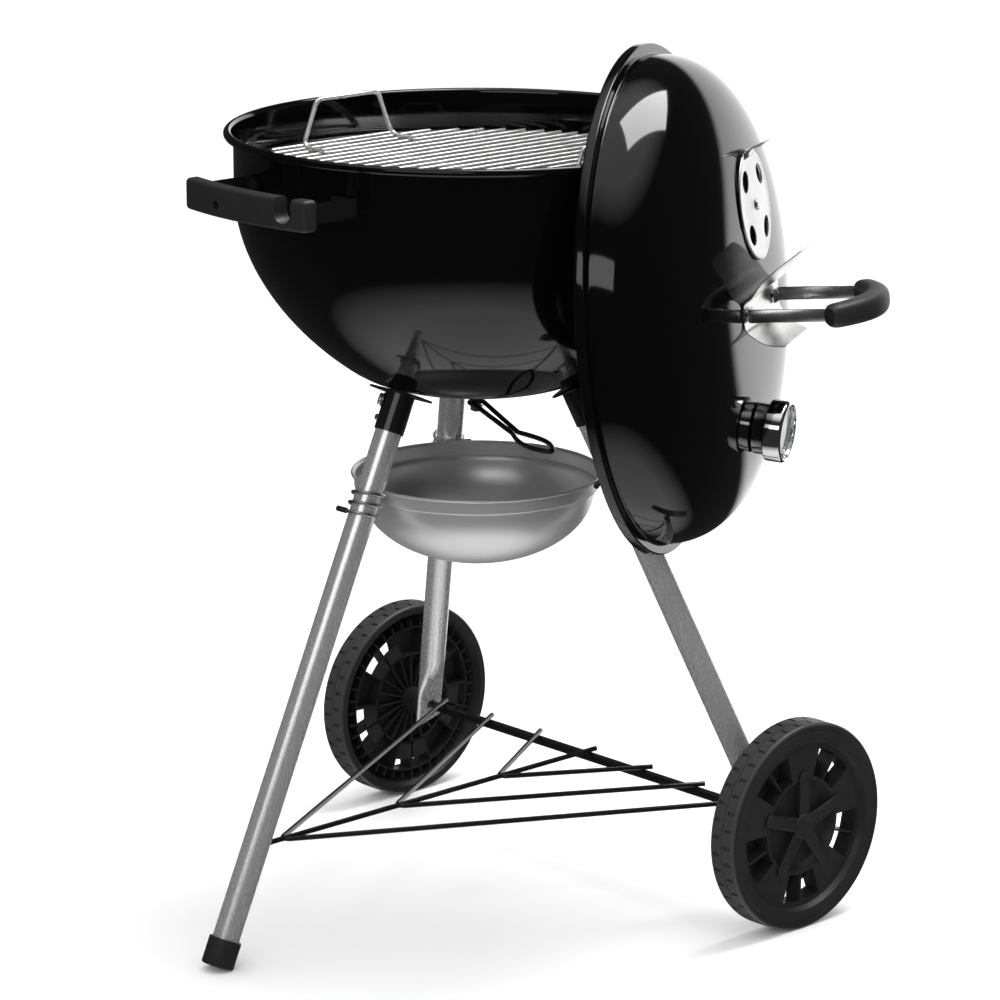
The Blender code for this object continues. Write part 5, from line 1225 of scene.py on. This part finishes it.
class GRILL_OT_ash_catcher(GrillStep, bpy.types.Operator):
    """Spin the ash pan, wind the spring clamps and bend the sweeper's lever; refinish the sweeper and its
    fittings
    """
    bl_idname = "grill.ash_catcher"
    bl_label = "Ash Catcher"

    def build(self, sizes):
        lip = 0.0014
        band = PAN_RADIUS - 2 * lip - 0.0004
        base, bowl = PAN_HEIGHT - 0.0130, band - 0.0050
        skin = [(band, PAN_HEIGHT - lip), (band, base + 0.0008)] + \
            arc(band - 0.0012, base + 0.0008, 0.0012, 0, -80, 4)[1:]
        skin += [(bowl + 0.0006, base - 0.0008), (bowl, base - 0.0020)]
        for k in range(1, 33):
            angle = math.pi / 2 * k / 32
            skin.append((bowl * math.cos(angle) if k < 32 else 0.0, base - 0.0020 - 0.0700 * math.sin(angle)))
        bead = arc(PAN_RADIUS - lip, PAN_HEIGHT, lip, 160, -130, 12)
        pan = new_object("ash_bowl", lathe("ash_bowl", bead + skin + inner_wall(skin, 0.0010)[::-1],
                                           160, KETTLE))
        fitted(pan, "spun_aluminium", "ash_pan", "aluminium", "ash_pan")
        for which in ("front", "left", "right"):
            self.clamp(which)
        self.lever()
        repaint("pressed_aluminium", "ash_sweeper")
        repaint("satin_black", "sweeper_bushing")
        repaint("zinc_plate", "sweeper_shaft", "sweeper_nut")

    def clamp(self, which):
        """Wire coiled round a leg, with two dipped ears and a finger on the pan's lip."""
        place, _ = leg_place(which)
        local = KETTLE.inverted() @ place
        wire = 0.0016
        coil = LEG_RADIUS + 2 * CLEAR + wire
        first = (PAN_HEIGHT - wire - local.translation.z + coil * local[2][0]) / local[2][2]
        points = []
        per_turn = 40
        for k in range(int(2.5 * per_turn) + 1):
            angle = math.pi + TAU * k / per_turn
            points.append(Vector((coil * math.cos(angle), coil * math.sin(angle),
                                  first + 0.0100 * k / per_turn)))
        ear = Vector((0, 0.0170, 0))
        start = local @ points[0]
        reach = math.hypot(start.x, start.y)
        end = Vector((start.x, start.y, 0)) * ((PAN_RADIUS + 2 * CLEAR) / reach) + Vector((0, 0, start.z))
        runs = [[local @ p for p in [points[0] + ear] + points + [points[-1] + ear]], [start, end]]
        wires(f"clamp_wire_{which}", runs, wire, "zinc_plate", "stand", "bright_zinc",
              f"pan_clamp_{which}", bend=0.0)
        dips = [[local @ (p + ear * 0.35), local @ (p + ear * 1.06)] for p in (points[0], points[-1])]
        wires(f"clamp_dip_{which}", dips, wire * 1.7, "grained_nylon", "stand", "black_nylon",
              f"pan_clamp_{which}", bend=0.0, sides=20)

    def lever(self):
        """A hairpin round the shaft that opens into a finger loop."""
        wire = 0.0024
        height = BOWL_FLOOR - CLEAR - 0.0155 - CLEAR - wire
        eye = 0.0040 + 2 * CLEAR + wire
        bend, tip = Vector((0.0685, height - 0.0155)), Vector((0.1316, height - 0.0210))
        half = [(eye * math.cos(a), eye * math.sin(a), height) for a in
                (math.radians(t) for t in range(180, 55, -12))]
        half.append((bend.x, wire * 1.35, bend.y))
        for k in range(1, 12):
            t = k / 12
            width = 0.0110 * math.sin(math.pi * t ** 1.25) ** 0.8 + wire * 1.35 * (1 - t)
            half.append((bend.x + (tip.x - bend.x) * t, width, bend.y + (tip.y - bend.y) * t))
        loop = half + [(tip.x, 0, tip.y)] + [(x, -y, z) for x, y, z in half[:0:-1]]
        turn = KETTLE @ Matrix.Rotation(math.radians(-11.0), 4, "Z")
        wires("sweep_lever", [loop], wire, "gloss_black", "sweeper", "black_steel", "sweeper_lever",
              bend=0.003, closed=True, place=turn)


class GRILL_OT_stage(GrillStep, bpy.types.Operator):
    """Lay the studio floor and set the lights and camera"""
    bl_idname = "grill.stage"
    bl_label = "Stage"

    def build(self, sizes):
        bm = bmesh.new()
        bmesh.ops.create_grid(bm, x_segments=1, y_segments=1, size=14.0)
        floor = new_object("studio_floor", as_mesh("studio_floor", bm))
        floor.data.materials.append(self.paper(tuple(sizes.floor)))
        floor.visible_glossy = False
        self.world()
        self.lamp("top_box", (0.25, 1.15, 3.6), (0.05, 0.0, 0.5), (1.4, 2.4), 105.0)
        self.lamp("front_panel", (2.0, -4.2, 2.6), (0.0, 0.0, 0.4), (3.4, 1.2), 26.0)
        view = bpy.data.cameras.new("product_camera")
        view.lens = 151.59
        view.sensor_width = 36.0
        camera = bpy.data.objects.new("product_camera", view)
        camera.location = (2.83638, -2.59849, 1.3902)
        camera.rotation_euler = (math.radians(75.5766), 0.0, math.radians(47.2581))
        bpy.context.scene.collection.objects.link(camera)
        bpy.context.scene.camera = camera
        bpy.context.scene.view_settings.view_transform = "Standard"

    def paper(self, colour):
        """Matt white paper with a faint mottle."""
        made = Finish("studio_paper", colour, 0.9)
        mottle = made.noise(3.0, 3.0)
        made.tint(tuple(c * 0.985 for c in colour), colour, mottle)
        made.bump(made.noise(900.0, 2.0), 0.02, 0.0002)
        return made.material

    def world(self):
        """White to the camera and for soft light; mostly dark, with pale bands, in reflections."""
        world = bpy.data.worlds.new("studio_world")
        world.use_nodes = True
        tree = world.node_tree
        tree.nodes.clear()
        rays = node(tree, "ShaderNodeLightPath")
        direction = node(tree, "ShaderNodeTexCoord").out("Generated")
        parts = node(tree, "ShaderNodeSeparateXYZ", Vector=direction)
        x, y, z = parts.out("X"), parts.out("Y"), parts.out("Z")
        behind = node(tree, "ShaderNodeMapRange", Value=y * 0.917 - x * 0.399, From_Min=0.905,
                      From_Max=0.93, To_Max=1.4)
        above = node(tree, "ShaderNodeMapRange", Value=z, From_Min=0.70, From_Max=0.90, To_Min=0.0,
                     To_Max=0.9)
        below = node(tree, "ShaderNodeMapRange", Value=z, From_Min=-0.72, From_Max=-0.92, To_Min=0.0,
                     To_Max=0.9)
        band = behind + above + below + 0.03
        glow = node(tree, "ShaderNodeBackground", Color=(1.0, 1.0, 1.0), Strength=band)
        soft = node(tree, "ShaderNodeBackground", Color=(1.0, 1.0, 1.0), Strength=1.1)
        mixed = tree.nodes.new("ShaderNodeMixShader")
        tree.links.new(rays.out("Is Glossy Ray").socket, mixed.inputs[0])
        tree.links.new(soft.socket, mixed.inputs[1])
        tree.links.new(glow.socket, mixed.inputs[2])
        out = tree.nodes.new("ShaderNodeOutputWorld")
        tree.links.new(mixed.outputs[0], out.inputs[0])
        bpy.context.scene.world = world

    def lamp(self, name, place, aim, size, power):
        """A soft rectangular light aimed at a point."""
        light = bpy.data.lights.new(name, "AREA")
        light.shape = "RECTANGLE"
        light.size, light.size_y = size
        light.energy = power
        lamp = bpy.data.objects.new(name, light)
        lamp.location = place
        lamp.rotation_euler = (Vector(place) - Vector(aim)).to_track_quat("Z", "Y").to_euler()
        bpy.context.scene.collection.objects.link(lamp)


STEPS = (GRILL_OT_stage, GRILL_OT_bowl, GRILL_OT_bowl_handle, GRILL_OT_grates, GRILL_OT_lid,
         GRILL_OT_lid_handle, GRILL_OT_lid_fittings, GRILL_OT_legs, GRILL_OT_rack, GRILL_OT_wheels,
         GRILL_OT_ash_catcher)


class GRILL_PT_pieces(bpy.types.Panel):
    """Buttons for every piece of the grill"""
    bl_idname = "GRILL_PT_pieces"
    bl_label = "Kettle Grill"
    bl_space_type = "VIEW_3D"
    bl_region_type = "UI"
    bl_category = "Grill"

    def draw(self, context):
        for name in GrillSettings.__annotations__:
            self.layout.prop(context.scene.grill, name)
        for step in STEPS:
            self.layout.operator(step.bl_idname)


def register():
    for owner in (GrillSettings, *STEPS, GRILL_PT_pieces):
        bpy.utils.register_class(owner)
    bpy.types.Scene.grill = bpy.props.PointerProperty(type=GrillSettings)


def unregister():
    del bpy.types.Scene.grill
    for owner in (GRILL_PT_pieces, *reversed(STEPS), GrillSettings):
        bpy.utils.unregister_class(owner)


def main():
    register()
    for step in STEPS:
        name = step.bl_idname.split(".")[1]
        if getattr(bpy.ops.grill, name)() != {"FINISHED"}:
            raise RuntimeError(f"{step.bl_label} was not built")


if __name__ == "__main__":
    main()
